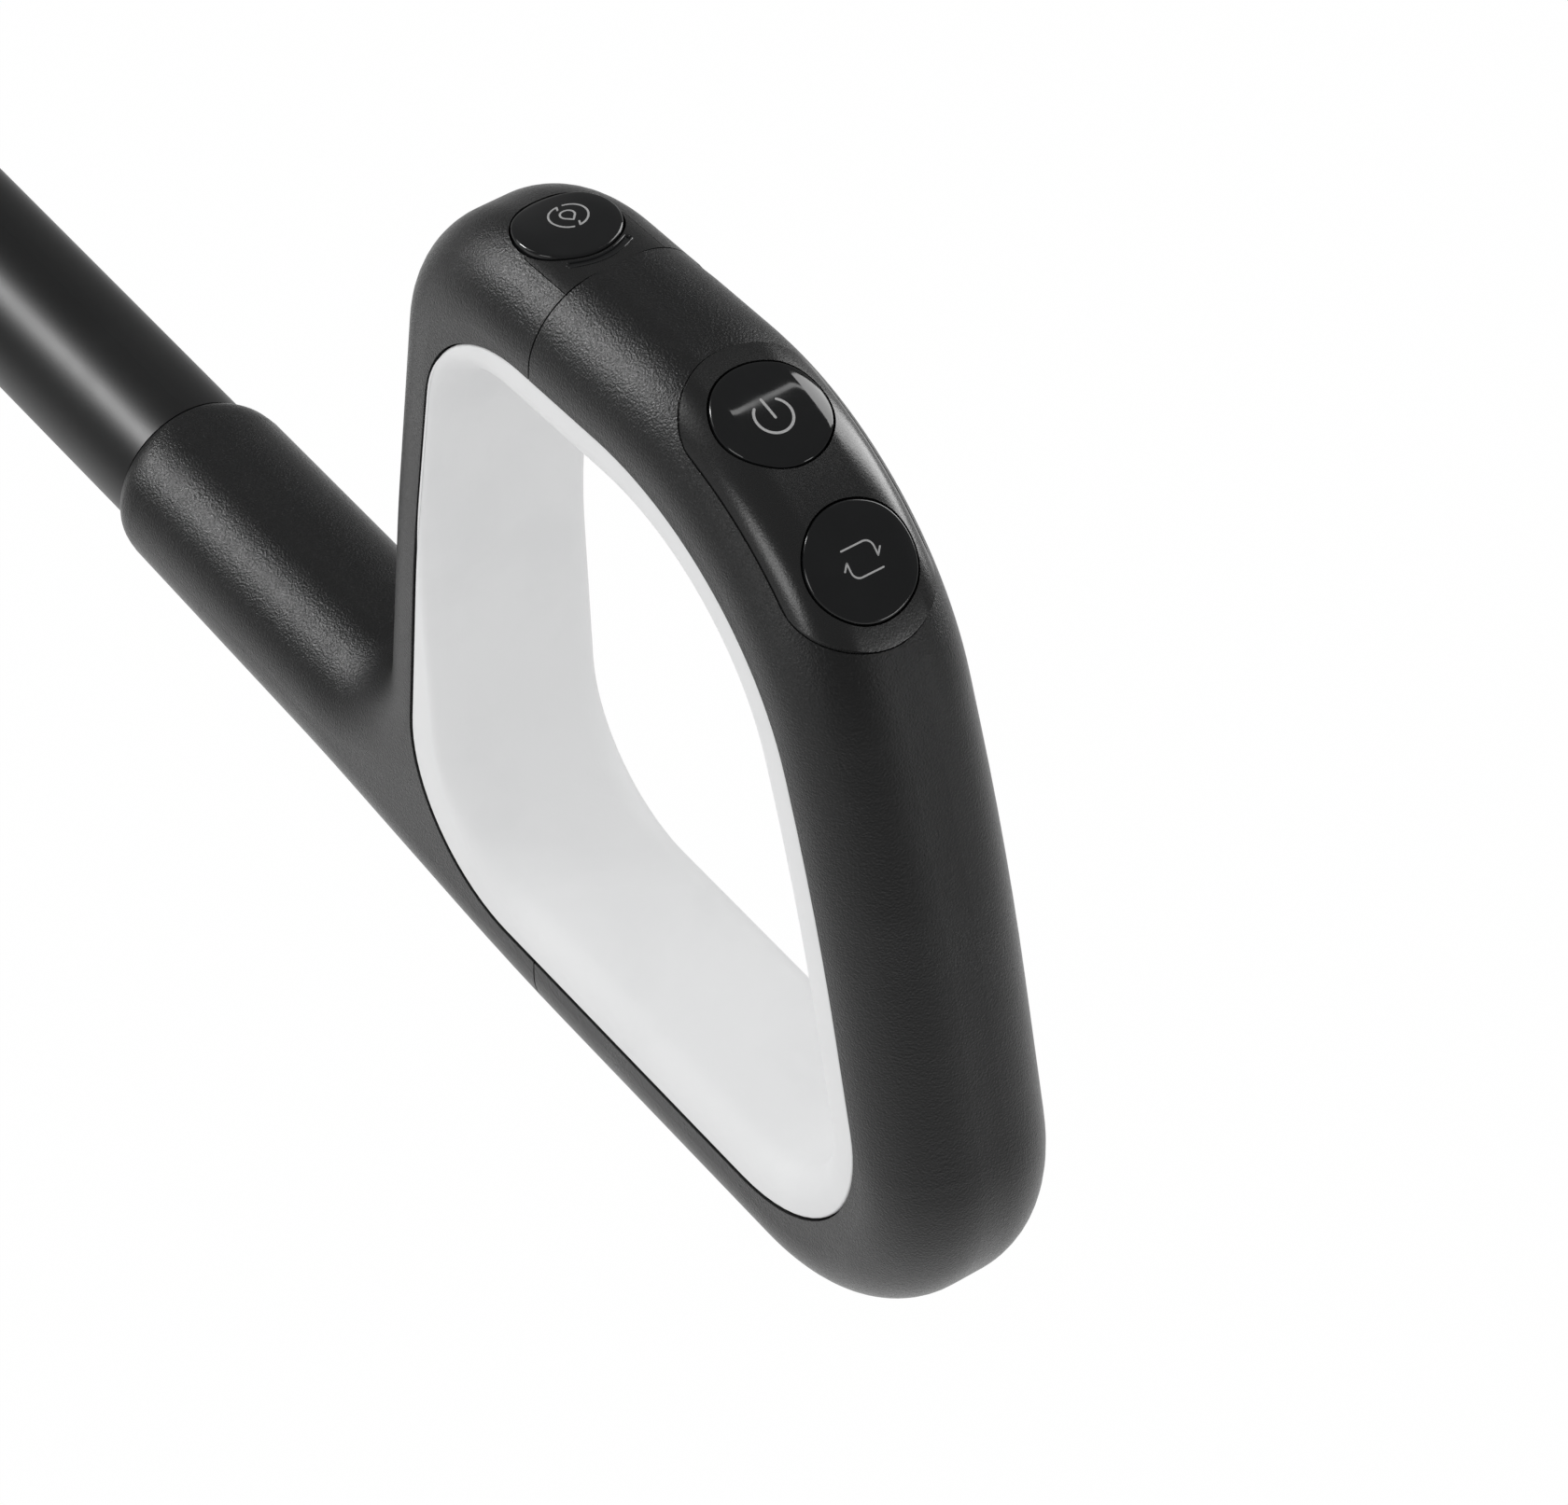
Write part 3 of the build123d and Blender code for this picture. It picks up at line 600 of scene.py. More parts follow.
# ------------------------------------------------------------------------------
# Outline of the loop in its side view
# ------------------------------------------------------------------------------
def turned(v: Vector, angle: float) -> Vector:
    """Turn a flat vector.

    Args:
        v: The vector.
        angle: Angle in radians, counterclockwise.

    Returns:
        The turned vector.
    """
    c, s = math.cos(angle), math.sin(angle)
    return Vector((v.x * c - v.y * s, v.x * s + v.y * c))


def cross_point(p: Vector, d: Vector, q: Vector, e: Vector) -> Vector:
    """Find where two lines meet.

    Args:
        p: Point on the first line.
        d: Its direction.
        q: Point on the second line.
        e: Its direction.

    Returns:
        The meeting point.
    """
    t = ((q - p).x * e.y - (q - p).y * e.x) / (d.x * e.y - d.y * e.x)
    return p + d * t


@dataclass
class LoopOutline:
    """The loop seen from its side: a rounded six-sided ring, in millimetres from the loop's datum.

    The corners are the same driving sizes as in the CAD. Sides run counterclockwise: bottom,
    front low, front high, top, rear high and rear low. Each has a height of the crown over the
    liner's edge at its start and at its end.
    """

    corners: Pairs = ((94.3, -4.9), (229.1, -5.6), (209.8, 72.4),
                      (187.6, 131.7), (105.4, 127.3), (98.4, 66.0))
    liner_rounds: tuple[float, ...] = (28.0, 29.5, 400.0, 51.0, 28.3, 400.0)
    crown_heights: Pairs = ((17.1, 17.1), (14.9, 14.9), (14.9, 14.9),
                            (16.4, 15.6), (14.7, 14.1), (14.1, 15.2))
    crown_rounds: tuple[float, ...] = (45.3, 40.5, 414.9, 59.0, 34.0, 414.0)
    arc_steps: int = 18
    line_steps: int = 14

    def shifted(self, corners: list[Vector], shifts: list[Pair]) -> list[Vector]:
        """Move the sides of a polygon outwards.

        Args:
            corners: Its corners, counterclockwise.
            shifts: For each side, how far its start and its end move.

        Returns:
            The new corners.
        """
        sides = []
        for i, (a, b) in enumerate(zip(corners, corners[1:] + corners[:1])):
            along = (b - a).normalized()
            out = Vector((along.y, -along.x))
            start = a + out * shifts[i][0]
            sides.append((start, b + out * shifts[i][1] - start))
        return [cross_point(*sides[i - 1], *sides[i]) for i in range(len(sides))]

    def rounded(self, corners: list[Vector], rounds: list[float]) -> list[Vector]:
        """Round a polygon's corners, always with the same number of points.

        Args:
            corners: Its corners, counterclockwise.
            rounds: Radius at each corner.

        Returns:
            Points on the rounded outline.
        """
        points = []
        arcs = []
        for i, here in enumerate(corners):
            after = corners[(i + 1) % len(corners)]
            come, go = (here - corners[i - 1]).normalized(), (after - here).normalized()
            turn = come.angle(go)
            start = here - come * rounds[i] * math.tan(turn / 2)
            centre = start + turned(come, math.pi / 2) * rounds[i]
            arcs.append([centre + turned(start - centre, turn * k / self.arc_steps)
                         for k in range(self.arc_steps + 1)])
        for arc, following in zip(arcs, arcs[1:] + arcs[:1]):
            points += arc
            points += [arc[-1].lerp(following[0], k / self.line_steps)
                       for k in range(1, self.line_steps)]
        return points

    def base(self) -> list[Vector]:
        """Give the corners of the line between shell and liner."""
        return [Vector(c) for c in self.corners]

    def liner(self, shift: float) -> list[Vector]:
        """Give the liner's outline, moved outwards by a shift."""
        corners = self.shifted(self.base(), [(shift, shift)] * len(self.corners))
        return self.rounded(corners, [r + shift for r in self.liner_rounds])

    def crown(self, shift: float) -> list[Vector]:
        """Give the shell's outer outline, moved outwards by a shift."""
        heights = [(a + shift, b + shift) for a, b in self.crown_heights]
        corners = self.shifted(self.base(), heights)
        return self.rounded(corners, [r + shift for r in self.crown_rounds])


# ------------------------------------------------------------------------------
# Mesh tools
# ------------------------------------------------------------------------------
def new_object(name: str, data: bpy.types.ID) -> bpy.types.Object:
    """Put a mesh, a lamp or a camera into the scene."""
    made = bpy.data.objects.new(name, data)
    bpy.context.scene.collection.objects.link(made)
    return made


def mesh_piece(name: str, points: list[Vector], faces: list[Face], body: str,
               material: bpy.types.Material, sharp_degrees: float = 40.0) -> bpy.types.Object:
    """Make a smooth-shaded mesh piece that rides on a body.

    Args:
        name: The piece's name.
        points: Its points, in metres in the CAD's frame.
        faces: Its faces, as lists of point numbers.
        body: The CAD body that carries it.
        material: Its material.
        sharp_degrees: Edges sharper than this stay sharp.

    Returns:
        The piece.
    """
    mesh = bpy.data.meshes.new(name)
    mesh.from_pydata([tuple(p) for p in points], [], faces)
    bm = bmesh.new()
    bm.from_mesh(mesh)
    bmesh.ops.recalc_face_normals(bm, faces=bm.faces)
    limit = math.radians(sharp_degrees)
    for edge in bm.edges:
        edge.smooth = edge.calc_face_angle(0.0) < limit
    for face in bm.faces:
        face.smooth = True
    bm.to_mesh(mesh)
    bm.free()
    mesh.materials.append(material)
    made = new_object(name, mesh)
    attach(made, body)
    log.info("piece %s: %d faces on %s", name, len(mesh.polygons), body)
    return made


def ring_faces(rings: int, stations: int, closed: bool = False, first: int = 0) -> list[Face]:
    """Make the quads between rings of points that each go round once.

    Args:
        rings: Number of rings.
        stations: Points in each ring.
        closed: Whether the last ring joins the first.
        first: Number of the first ring's first point.

    Returns:
        The faces.
    """
    faces = []
    for i in range(rings if closed else rings - 1):
        near, far = first + i * stations, first + (i + 1) % rings * stations
        for k in range(stations):
            m = (k + 1) % stations
            faces.append((near + k, near + m, far + m, far + k))
    return faces


def side_point(p: Vector, y: float) -> Vector:
    """Place a point of the loop's side view in the CAD's frame.

    Args:
        p: The point, in millimetres from the loop's datum.
        y: Its place across the loop, in millimetres.

    Returns:
        The point in metres.
    """
    return Vector(((LOOP_DATUM + p.x) * MM, y * MM, p.y * MM))


# ------------------------------------------------------------------------------
# Grip liner
# ------------------------------------------------------------------------------
@dataclass
class GripLiner:
    """Pale soft ring inside the loop, with broad rounded lips where the hand goes in."""

    outline: LoopOutline
    gap: float = 0.3
    half_width: float = 16.6
    depths: Pairs = ((8.3, 8.3), (9.5, 9.5), (9.5, 9.5),
                     (9.5, 9.5), (3.2, 3.0), (3.0, 13.0))
    inner_rounds: tuple[float, ...] = (24.0, 20.0, 390.0, 41.0, 20.0, 120.0)
    lips: tuple[float, ...] = (5.6, 5.6, 5.6, 5.6, 2.8, 2.8)
    lip_reach: float = 5.6
    lip_steps: int = 12
    edge_round: float = 0.45
    edge_steps: int = 4

    def opening(self, share: float) -> list[Vector]:
        """Give the hand opening's outline.

        Args:
            share: How far the lips draw it back, 0 between them and 1 at the liner's flank.

        Returns:
            Its points.
        """
        reach = [lip * share for lip in self.lips]
        inner = self.outline.shifted(self.outline.base(), [(-a, -b) for a, b in self.depths])
        drawn = self.outline.shifted(inner, [(r, r) for r in reach])
        rounds = [radius + r for radius, r in zip(self.inner_rounds, reach)]
        return self.outline.rounded(drawn, rounds)

    def half_section(self) -> list[tuple[list[Vector], float]]:
        """Give the rings of one half, from the middle of the back to the middle of the opening."""
        rings = [(self.outline.liner(-self.gap), 0.0)]
        for k in range(self.edge_steps + 1):
            angle = math.pi / 2 * k / self.edge_steps
            drop = self.edge_round * (1 - math.cos(angle))
            y = self.half_width - self.edge_round * (1 - math.sin(angle))
            rings.append((self.outline.liner(-self.gap - drop), y))
        start = self.half_width - self.lip_reach
        for k in range(self.lip_steps + 1):
            angle = math.pi / 2 * k / self.lip_steps
            y = start + self.lip_reach * math.cos(angle)
            rings.append((self.opening(1 - math.sin(angle)), y))
        rings.append((self.opening(0.0), start / 2))
        rings.append((self.opening(0.0), 0.0))
        return rings

    def build(self, materials: Materials) -> bpy.types.Object:
        """Build the ring and let it stand for the CAD liner.

        Args:
            materials: The handle's materials by slot.

        Returns:
            The piece.
        """
        half = self.half_section()
        rings = half + [(ring, -y) for ring, y in reversed(half[1:-1])]
        points = [side_point(p, y) for ring, y in rings for p in ring]
        faces = ring_faces(len(rings), len(half[0][0]), closed=True)
        made = mesh_piece("soft_grip_liner", points, faces, "handle", materials["liner"])
        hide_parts("grip_liner")
        return made


# ------------------------------------------------------------------------------
# Push buttons
# ------------------------------------------------------------------------------
@dataclass
class CrownSurface:
    """A surface that follows the crown: its outline shifted outwards, with rounded long edges."""

    outline: LoopOutline
    shift: float
    half_width: float
    edge_round: float
    arc_samples: int = 240
    line_samples: int = 200
    top_from: float = 60.0
    bottom_to: float = -15.0

    def __post_init__(self) -> None:
        """Sample the outline closely enough to measure from it."""
        fine = replace(self.outline, arc_steps=self.arc_samples, line_steps=self.line_samples)
        ring = fine.crown(self.shift)
        self.line = np.array([(p.x, p.y) for p in ring])
        along = np.roll(self.line, -1, axis=0) - np.roll(self.line, 1, axis=0)
        along /= np.linalg.norm(along, axis=1)[:, None]
        self.out = np.stack([along[:, 1], -along[:, 0]], axis=1)

    def drop(self, y: float) -> float:
        """Give how far the surface has curved away at a place across it.

        Args:
            y: Distance from the middle plane, in millimetres.

        Returns:
            The drop below the crest, in millimetres.
        """
        radius = self.edge_round + self.shift
        beyond = max(abs(y) - (self.half_width + self.shift - radius), 0.0)
        return radius - math.sqrt(max(radius ** 2 - beyond ** 2, 0.0))

    def height_over(self, x: float, z: float) -> float:
        """Give a point's height over the crest line.

        Args:
            x: Its place along the loop's datum.
            z: Its height.

        Returns:
            Millimetres outside the crest line.
        """
        apart = np.array((x, z)) - self.line
        nearest = int(np.argmin((apart ** 2).sum(axis=1)))
        return float(apart[nearest] @ self.out[nearest])

    def crest(self, x: float, up: int = 1) -> Vector:
        """Give the crest's point over a place along the datum.

        Args:
            x: The place, in millimetres.
            up: 1 for the top of the loop and -1 for its bottom.

        Returns:
            The point in the side view.
        """
        heights = self.line[:, 1]
        side = self.line[heights > self.top_from if up > 0 else heights < self.bottom_to]
        order = np.argsort(side[:, 0])
        return Vector((x, float(np.interp(x, side[order, 0], side[order, 1]))))


@dataclass
class ButtonPlace:
    """Axis of one button: where it leaves the crown and how far it leans towards +X."""

    origin: Vector
    tilt: float
    tries: int = 5

    def in_side_view(self, u: float, w: float) -> Pair:
        """Give the place in the side view of a point along the loop and out along the axis."""
        c, s = math.cos(self.tilt), math.sin(self.tilt)
        return self.origin.x + u * c + w * s, self.origin.y - u * s + w * c

    def point(self, u: float, v: float, w: float) -> Vector:
        """Place a point of the button in the CAD's frame.

        Args:
            u: Millimetres along the loop, away from the pole.
            v: Millimetres across the loop, towards +Y.
            w: Millimetres out along the button's axis.

        Returns:
            The point in metres.
        """
        return side_point(Vector(self.in_side_view(u, w)), v)

    def surface_height(self, surface: CrownSurface, u: float, v: float) -> float:
        """Find where a line parallel to the axis meets a surface of the crown.

        Args:
            surface: The surface.
            u: Millimetres along the loop.
            v: Millimetres across the loop.

        Returns:
            Height along the axis, in millimetres.
        """
        w = 0.0
        for _ in range(self.tries):
            w -= surface.height_over(*self.in_side_view(u, w)) + surface.drop(v)
        return w


@dataclass
class PushButton:
    """Polished round button with a softly rounded rim, hollow below, held by a flange.

    Its name is that of its CAD node and of the body that carries it.
    """

    name: str
    place: ButtonPlace
    surface: CrownSurface
    radius: float
    rim_round: float = 0.36
    wall: float = 1.5
    flange: float = 0.8
    flange_depth: float = 5.95
    cap_depth: float = 3.2
    stem_radius: float = 1.8
    stem_depth: float = 6.3
    spokes: int = 96
    top_rings: int = 12
    rim_rings: int = 6

    def rings(self) -> list[tuple[float, float, bool]]:
        """Give each ring's radius and height, and whether the height is over the top surface."""
        flat = self.radius - self.rim_round
        rings = [(flat * k / self.top_rings, 0.0, True) for k in range(1, self.top_rings + 1)]
        for k in range(1, self.rim_rings + 1):
            angle = math.pi / 2 * k / self.rim_rings
            rings.append((flat + self.rim_round * math.sin(angle),
                          -self.rim_round * (1 - math.cos(angle)), True))
        low = -self.flange_depth - self.flange
        inner = self.radius - self.wall
        outer = self.radius + self.flange
        below = [(self.radius, -self.flange_depth), (outer, -self.flange_depth), (outer, low),
                 (inner, low), (inner, -self.cap_depth), (self.stem_radius, -self.cap_depth),
                 (self.stem_radius, -self.stem_depth)]
        return rings + [(radius, height, False) for radius, height in below]

    def build(self, materials: Materials) -> bpy.types.Object:
        """Build the button and let it stand for the CAD node of its name.

        Args:
            materials: The handle's materials by slot.

        Returns:
            The piece.
        """
        rings = self.rings()
        points = [self.place.point(0, 0, self.place.surface_height(self.surface, 0, 0))]
        for radius, height, on_top in rings:
            for k in range(self.spokes):
                angle = math.tau * k / self.spokes
                u, v = radius * math.cos(angle), radius * math.sin(angle)
                w = height + self.place.surface_height(self.surface, u, v) if on_top else height
                points.append(self.place.point(u, v, w))
        points.append(self.place.point(0, 0, rings[-1][1]))
        faces = ring_faces(len(rings), self.spokes, first=1)
        last = len(points) - 1
        last_ring = last - self.spokes
        for k in range(self.spokes):
            m = (k + 1) % self.spokes
            faces.append((0, 1 + k, 1 + m))
            faces.append((last, last_ring + m, last_ring + k))
        made = mesh_piece(self.name + "_cap", points, faces, self.name,
                          materials["buttons"])
        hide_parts(self.name)
        return made


def arc_path(radius: float, start: float, end: float, degrees_per_step: float = 6.0) -> Path:
    """Give a path round a symbol's centre.

    Args:
        radius: Its radius in millimetres.
        start: First angle in degrees, from away from the pole towards +Y.
        end: Last angle in degrees.
        degrees_per_step: Roughly how far apart its points are.

    Returns:
        Its points.
    """
    count = max(int(abs(end - start) / degrees_per_step), 2)
    turns = [math.radians(start + (end - start) * k / count) for k in range(count + 1)]
    return [(radius * math.cos(a), radius * math.sin(a)) for a in turns]


def with_opposite(strokes: list[Stroke]) -> list[Stroke]:
    """Give the strokes, and the same ones turned half round the symbol's centre."""
    return strokes + [([(-u, -v) for u, v in path], closed) for path, closed in strokes]


@dataclass(frozen=True)
class PowerDrawing:
    """Open ring with a bar in its gap."""

    centre: Pair = (0.78, -0.25)
    width: float = 0.46
    radius: float = 3.15
    ring_ends: Pair = (-139.0, 138.0)
    bar: Pairs = ((-3.35, -0.1), (0.42, 0.05))

    def strokes(self) -> list[Stroke]:
        """Give the ring and the bar."""
        return [(arc_path(self.radius, *self.ring_ends), False), (list(self.bar), False)]


@dataclass(frozen=True)
class ModeDrawing:
    """Two one-sided arrows that chase each other round a rounded rectangle."""

    centre: Pair = (-0.2, 0.0)
    width: float = 0.3
    half_length: float = 2.75
    half_width: float = 2.5
    bend: float = 1.45
    bend_steps: int = 6
    tip: float = 0.5
    barb_end: float = -0.6
    barb_reach: float = 0.9

    def strokes(self) -> list[Stroke]:
        """Give both arrows, each with its barb."""
        length, width, bend = self.half_length, self.half_width, self.bend
        angles = [math.pi / 2 * k / self.bend_steps for k in range(self.bend_steps + 1)]
        corner = [(-width + bend * (1 - math.cos(a)), length - bend * (1 - math.sin(a)))
                  for a in angles]
        arrow = [(-width, -length), *corner, (self.tip, length)]
        barb = [(self.tip, length), (self.barb_end, length + self.barb_reach)]
        return with_opposite([(arrow, False), (barb, False)])


@dataclass(frozen=True)
class CleanDrawing:
    """Drop inside two arrows that chase each other round it."""

    centre: Pair = (-1.05, 1.15)
    width: float = 0.34
    radius: float = 3.2
    arrow_ends: Pair = (162.0, 1.0)
    barb_share: float = 0.74
    barb_reach: float = 0.45
    drop_radius: float = 1.2
    drop_ends: Pair = (42.0, 318.0)
    drop_shift: float = 0.25
    drop_tip: Pair = (1.5, 0.0)

    def strokes(self) -> list[Stroke]:
        """Give both arrows, each with its barb, and the drop."""
        arrow = arc_path(self.radius, *self.arrow_ends)
        barb = [arrow[-1], (self.radius * self.barb_share, self.barb_reach)]
        drop = [(u - self.drop_shift, v) for u, v in arc_path(self.drop_radius, *self.drop_ends)]
        return with_opposite([(arrow, False), (barb, False)]) + [([*drop, self.drop_tip], True)]


class Symbol(Enum):
    """The printed symbols of the buttons, with their drawings."""

    POWER = PowerDrawing()
    MODE = ModeDrawing()
    CLEAN = CleanDrawing()


@dataclass
class PrintedSymbol:
    """Thin printed symbol on a button, drawn as strokes of even width with round ends."""

    symbol: Symbol
    button: PushButton
    film: float = 0.03
    step: float = 0.25
    # how far out and how wide each row of a round end is, as shares of half the stroke's width
    end_rows: Pairs = ((0.98, 0.2), (0.7, 0.71))
    # the stroke's section: shares of half its width and of the film's height
    section: Pairs = ((1, 1), (-1, 1), (-1, -1), (1, -1))

    def resampled(self, path: Path, closed: bool) -> list[Vector]:
        """Divide a path into short steps, so that it can follow the button's surface.

        Args:
            path: Its points.
            closed: Whether its end joins its start.

        Returns:
            Closely spaced points.
        """
        corners = [Vector(p) for p in path] + ([Vector(path[0])] if closed else [])
        points = [corners[0]]
        for a, b in zip(corners, corners[1:]):
            count = max(int((b - a).length / self.step), 1)
            points += [a.lerp(b, k / count) for k in range(1, count + 1)]
        return points

    def ribbon(self, path: Path, closed: bool, points: list[Vector],
               faces: list[Face]) -> None:
        """Add one stroke to the symbol's mesh.

        Args:
            path: The stroke's path.
            closed: Whether it closes.
            points: The mesh's points, which the stroke's are added to.
            faces: The mesh's faces.
        """
        drawing, place = self.symbol.value, self.button.place
        line = self.resampled(path, closed)
        half = drawing.width / 2
        reaches = [half] * len(line)
        if not closed:
            lead = (line[0] - line[1]).normalized() * half
            tail = (line[-1] - line[-2]).normalized() * half
            outs = [out for out, _ in self.end_rows]
            ends = [half * wide for _, wide in self.end_rows]
            line = ([line[0] + lead * out for out in outs] + line
                    + [line[-1] + tail * out for out in reversed(outs)])
            reaches = ends + reaches + ends[::-1]
        last = len(line) - 1
        first = len(points)
        for i, (p, reach) in enumerate(zip(line, reaches)):
            before, after = line[max(i - 1, 0)], line[min(i + 1, last)]
            if closed and i in (0, last):
                before, after = line[-2], line[1]
            along = (after - before).normalized()
            side = Vector((-along.y, along.x))
            for across, lift in self.section:
                u = p.x + side.x * reach * across + drawing.centre[0]
                v = p.y + side.y * reach * across + drawing.centre[1]
                w = place.surface_height(self.button.surface, u, v) + self.film * lift
                points.append(place.point(u, v, w))
        count, end = len(self.section), len(points) - 1
        faces += ring_faces(len(line), count, first=first)
        faces.append(tuple(range(first, first + count)))
        faces.append(tuple(range(end, end - count, -1)))

    def build(self, materials: Materials) -> bpy.types.Object:
        """Build the symbol on its button.

        Args:
            materials: The handle's materials by slot.

        Returns:
            The piece.
        """
        points, faces = [], []
        for path, closed in self.symbol.value.strokes():
            self.ribbon(path, closed, points, faces)
        name = self.symbol.name.lower() + "_symbol"
        return mesh_piece(name, points, faces, self.button.name, materials["ink"],
                          sharp_degrees=30.0)


@dataclass
class StatusWindow:
    """Curved slot round the clean button: a smoked lens sunk inside a thin raised rim."""

    place: ButtonPlace
    surface: CrownSurface
    radius: float = 10.35
    half_angle: float = 32.0
    side_steps: int = 28
    end_steps: int = 10
    # half width and height over the deck of each ring, from the underside's middle to the lens
    section: Pairs = ((0.15, -3.2), (0.55, -3.2), (0.55, -0.2), (0.8, -0.08), (0.79, 0.08),
                      (0.73, 0.13), (0.64, 0.11), (0.57, 0.0), (0.53, -0.3), (0.15, -0.34))

    def ring(self, half: float, height: float) -> list[Vector]:
        """Give one ring round the slot's middle line.

        Args:
            half: Its distance from that line.
            height: Its height over the deck.

        Returns:
            Its points in metres.
        """
        reach = math.radians(self.half_angle)
        flat = []
        for side in (1, -1):
            radius = self.radius + side * half
            for k in range(self.side_steps + 1):
                angle = side * reach * (2 * k / self.side_steps - 1)
                flat.append(Vector((math.cos(angle), math.sin(angle))) * radius)
            end = Vector((math.cos(reach), side * math.sin(reach))) * self.radius
            out = end.normalized() * side
            for k in range(1, self.end_steps):
                flat.append(end + turned(out, math.pi * k / self.end_steps) * half)
        heights = [self.place.surface_height(self.surface, p.x, p.y) + height for p in flat]
        return [self.place.point(p.x, p.y, w) for p, w in zip(flat, heights)]

    def fill(self, start: int) -> list[Face]:
        """Close the inside of a ring.

        Args:
            start: Number of the ring's first point.

        Returns:
            Quads across the slot and one face at each end.
        """
        steps = self.side_steps
        half = steps + self.end_steps
        count = 2 * half
        faces = [(start + k, start + k + 1, start + half + steps - k - 1, start + half + steps - k)
                 for k in range(steps)]
        faces.append(tuple(start + k for k in range(steps, half + 1)))
        faces.append(tuple(start + k % count for k in range(half + steps, count + 1)))
        return faces

    def build(self, materials: Materials) -> bpy.types.Object:
        """Build the window and let it stand for the CAD node.

        Args:
            materials: The handle's materials by slot.

        Returns:
            The piece.
        """
        rings = [self.ring(half, height) for half, height in self.section]
        points = [p for ring in rings for p in ring]
        count = len(rings[0])
        faces = ring_faces(len(rings), count) + self.fill(0) + self.fill(len(points) - count)
        made = mesh_piece("status_window_lens", points, faces, "handle",
                          materials["window"])
        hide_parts("status_window")
        return made


@dataclass
class ButtonSet:
    """The three buttons on the crown, their symbols and the status window beside the last.

    A button's axis is where it leaves the crown, in millimetres from the loop's datum, and the
    degrees by which it leans towards +X.
    """

    outline: LoopOutline
    power_axis: Pair = (173.2, 13.5)
    mode_axis: Pair = (196.8, 38.7)
    clean_axis: Pair = (118.6, -14.5)
    panel_radius: float = 9.75
    clean_radius: float = 8.9
    crown_half_width: float = 16.8
    crown_edge_round: float = 13.9
    panel_proud: float = 0.55
    panel_half_width: float = 13.4
    panel_edge_round: float = 7.5
    clean_edge_round: float = 11.0
    deck_sink: float = 0.3
    deck_edge_round: float = 13.0

    def place(self, x: float, tilt_degrees: float) -> ButtonPlace:
        """Give a button's axis."""
        crown = CrownSurface(self.outline, 0.0, self.crown_half_width, self.crown_edge_round)
        return ButtonPlace(crown.crest(x), math.radians(tilt_degrees))

    def build(self, materials: Materials) -> None:
        """Build every button with its symbol, and the window.

        Args:
            materials: The handle's materials by slot.
        """
        panel = CrownSurface(self.outline, self.panel_proud, self.panel_half_width,
                             self.panel_edge_round)
        cap = CrownSurface(self.outline, 0.0, self.crown_half_width, self.clean_edge_round)
        deck = CrownSurface(self.outline, -self.deck_sink, self.crown_half_width,
                            self.deck_edge_round)
        clean_place = self.place(*self.clean_axis)
        buttons = {
            Symbol.POWER: PushButton("power_button", self.place(*self.power_axis), panel,
                                     self.panel_radius),
            Symbol.MODE: PushButton("mode_button", self.place(*self.mode_axis), panel,
                                    self.panel_radius),
            Symbol.CLEAN: PushButton("clean_button", clean_place, cap, self.clean_radius),
        }
        for symbol, button in buttons.items():
            button.build(materials)
            PrintedSymbol(symbol, button).build(materials)
        StatusWindow(clean_place, deck).build(materials)


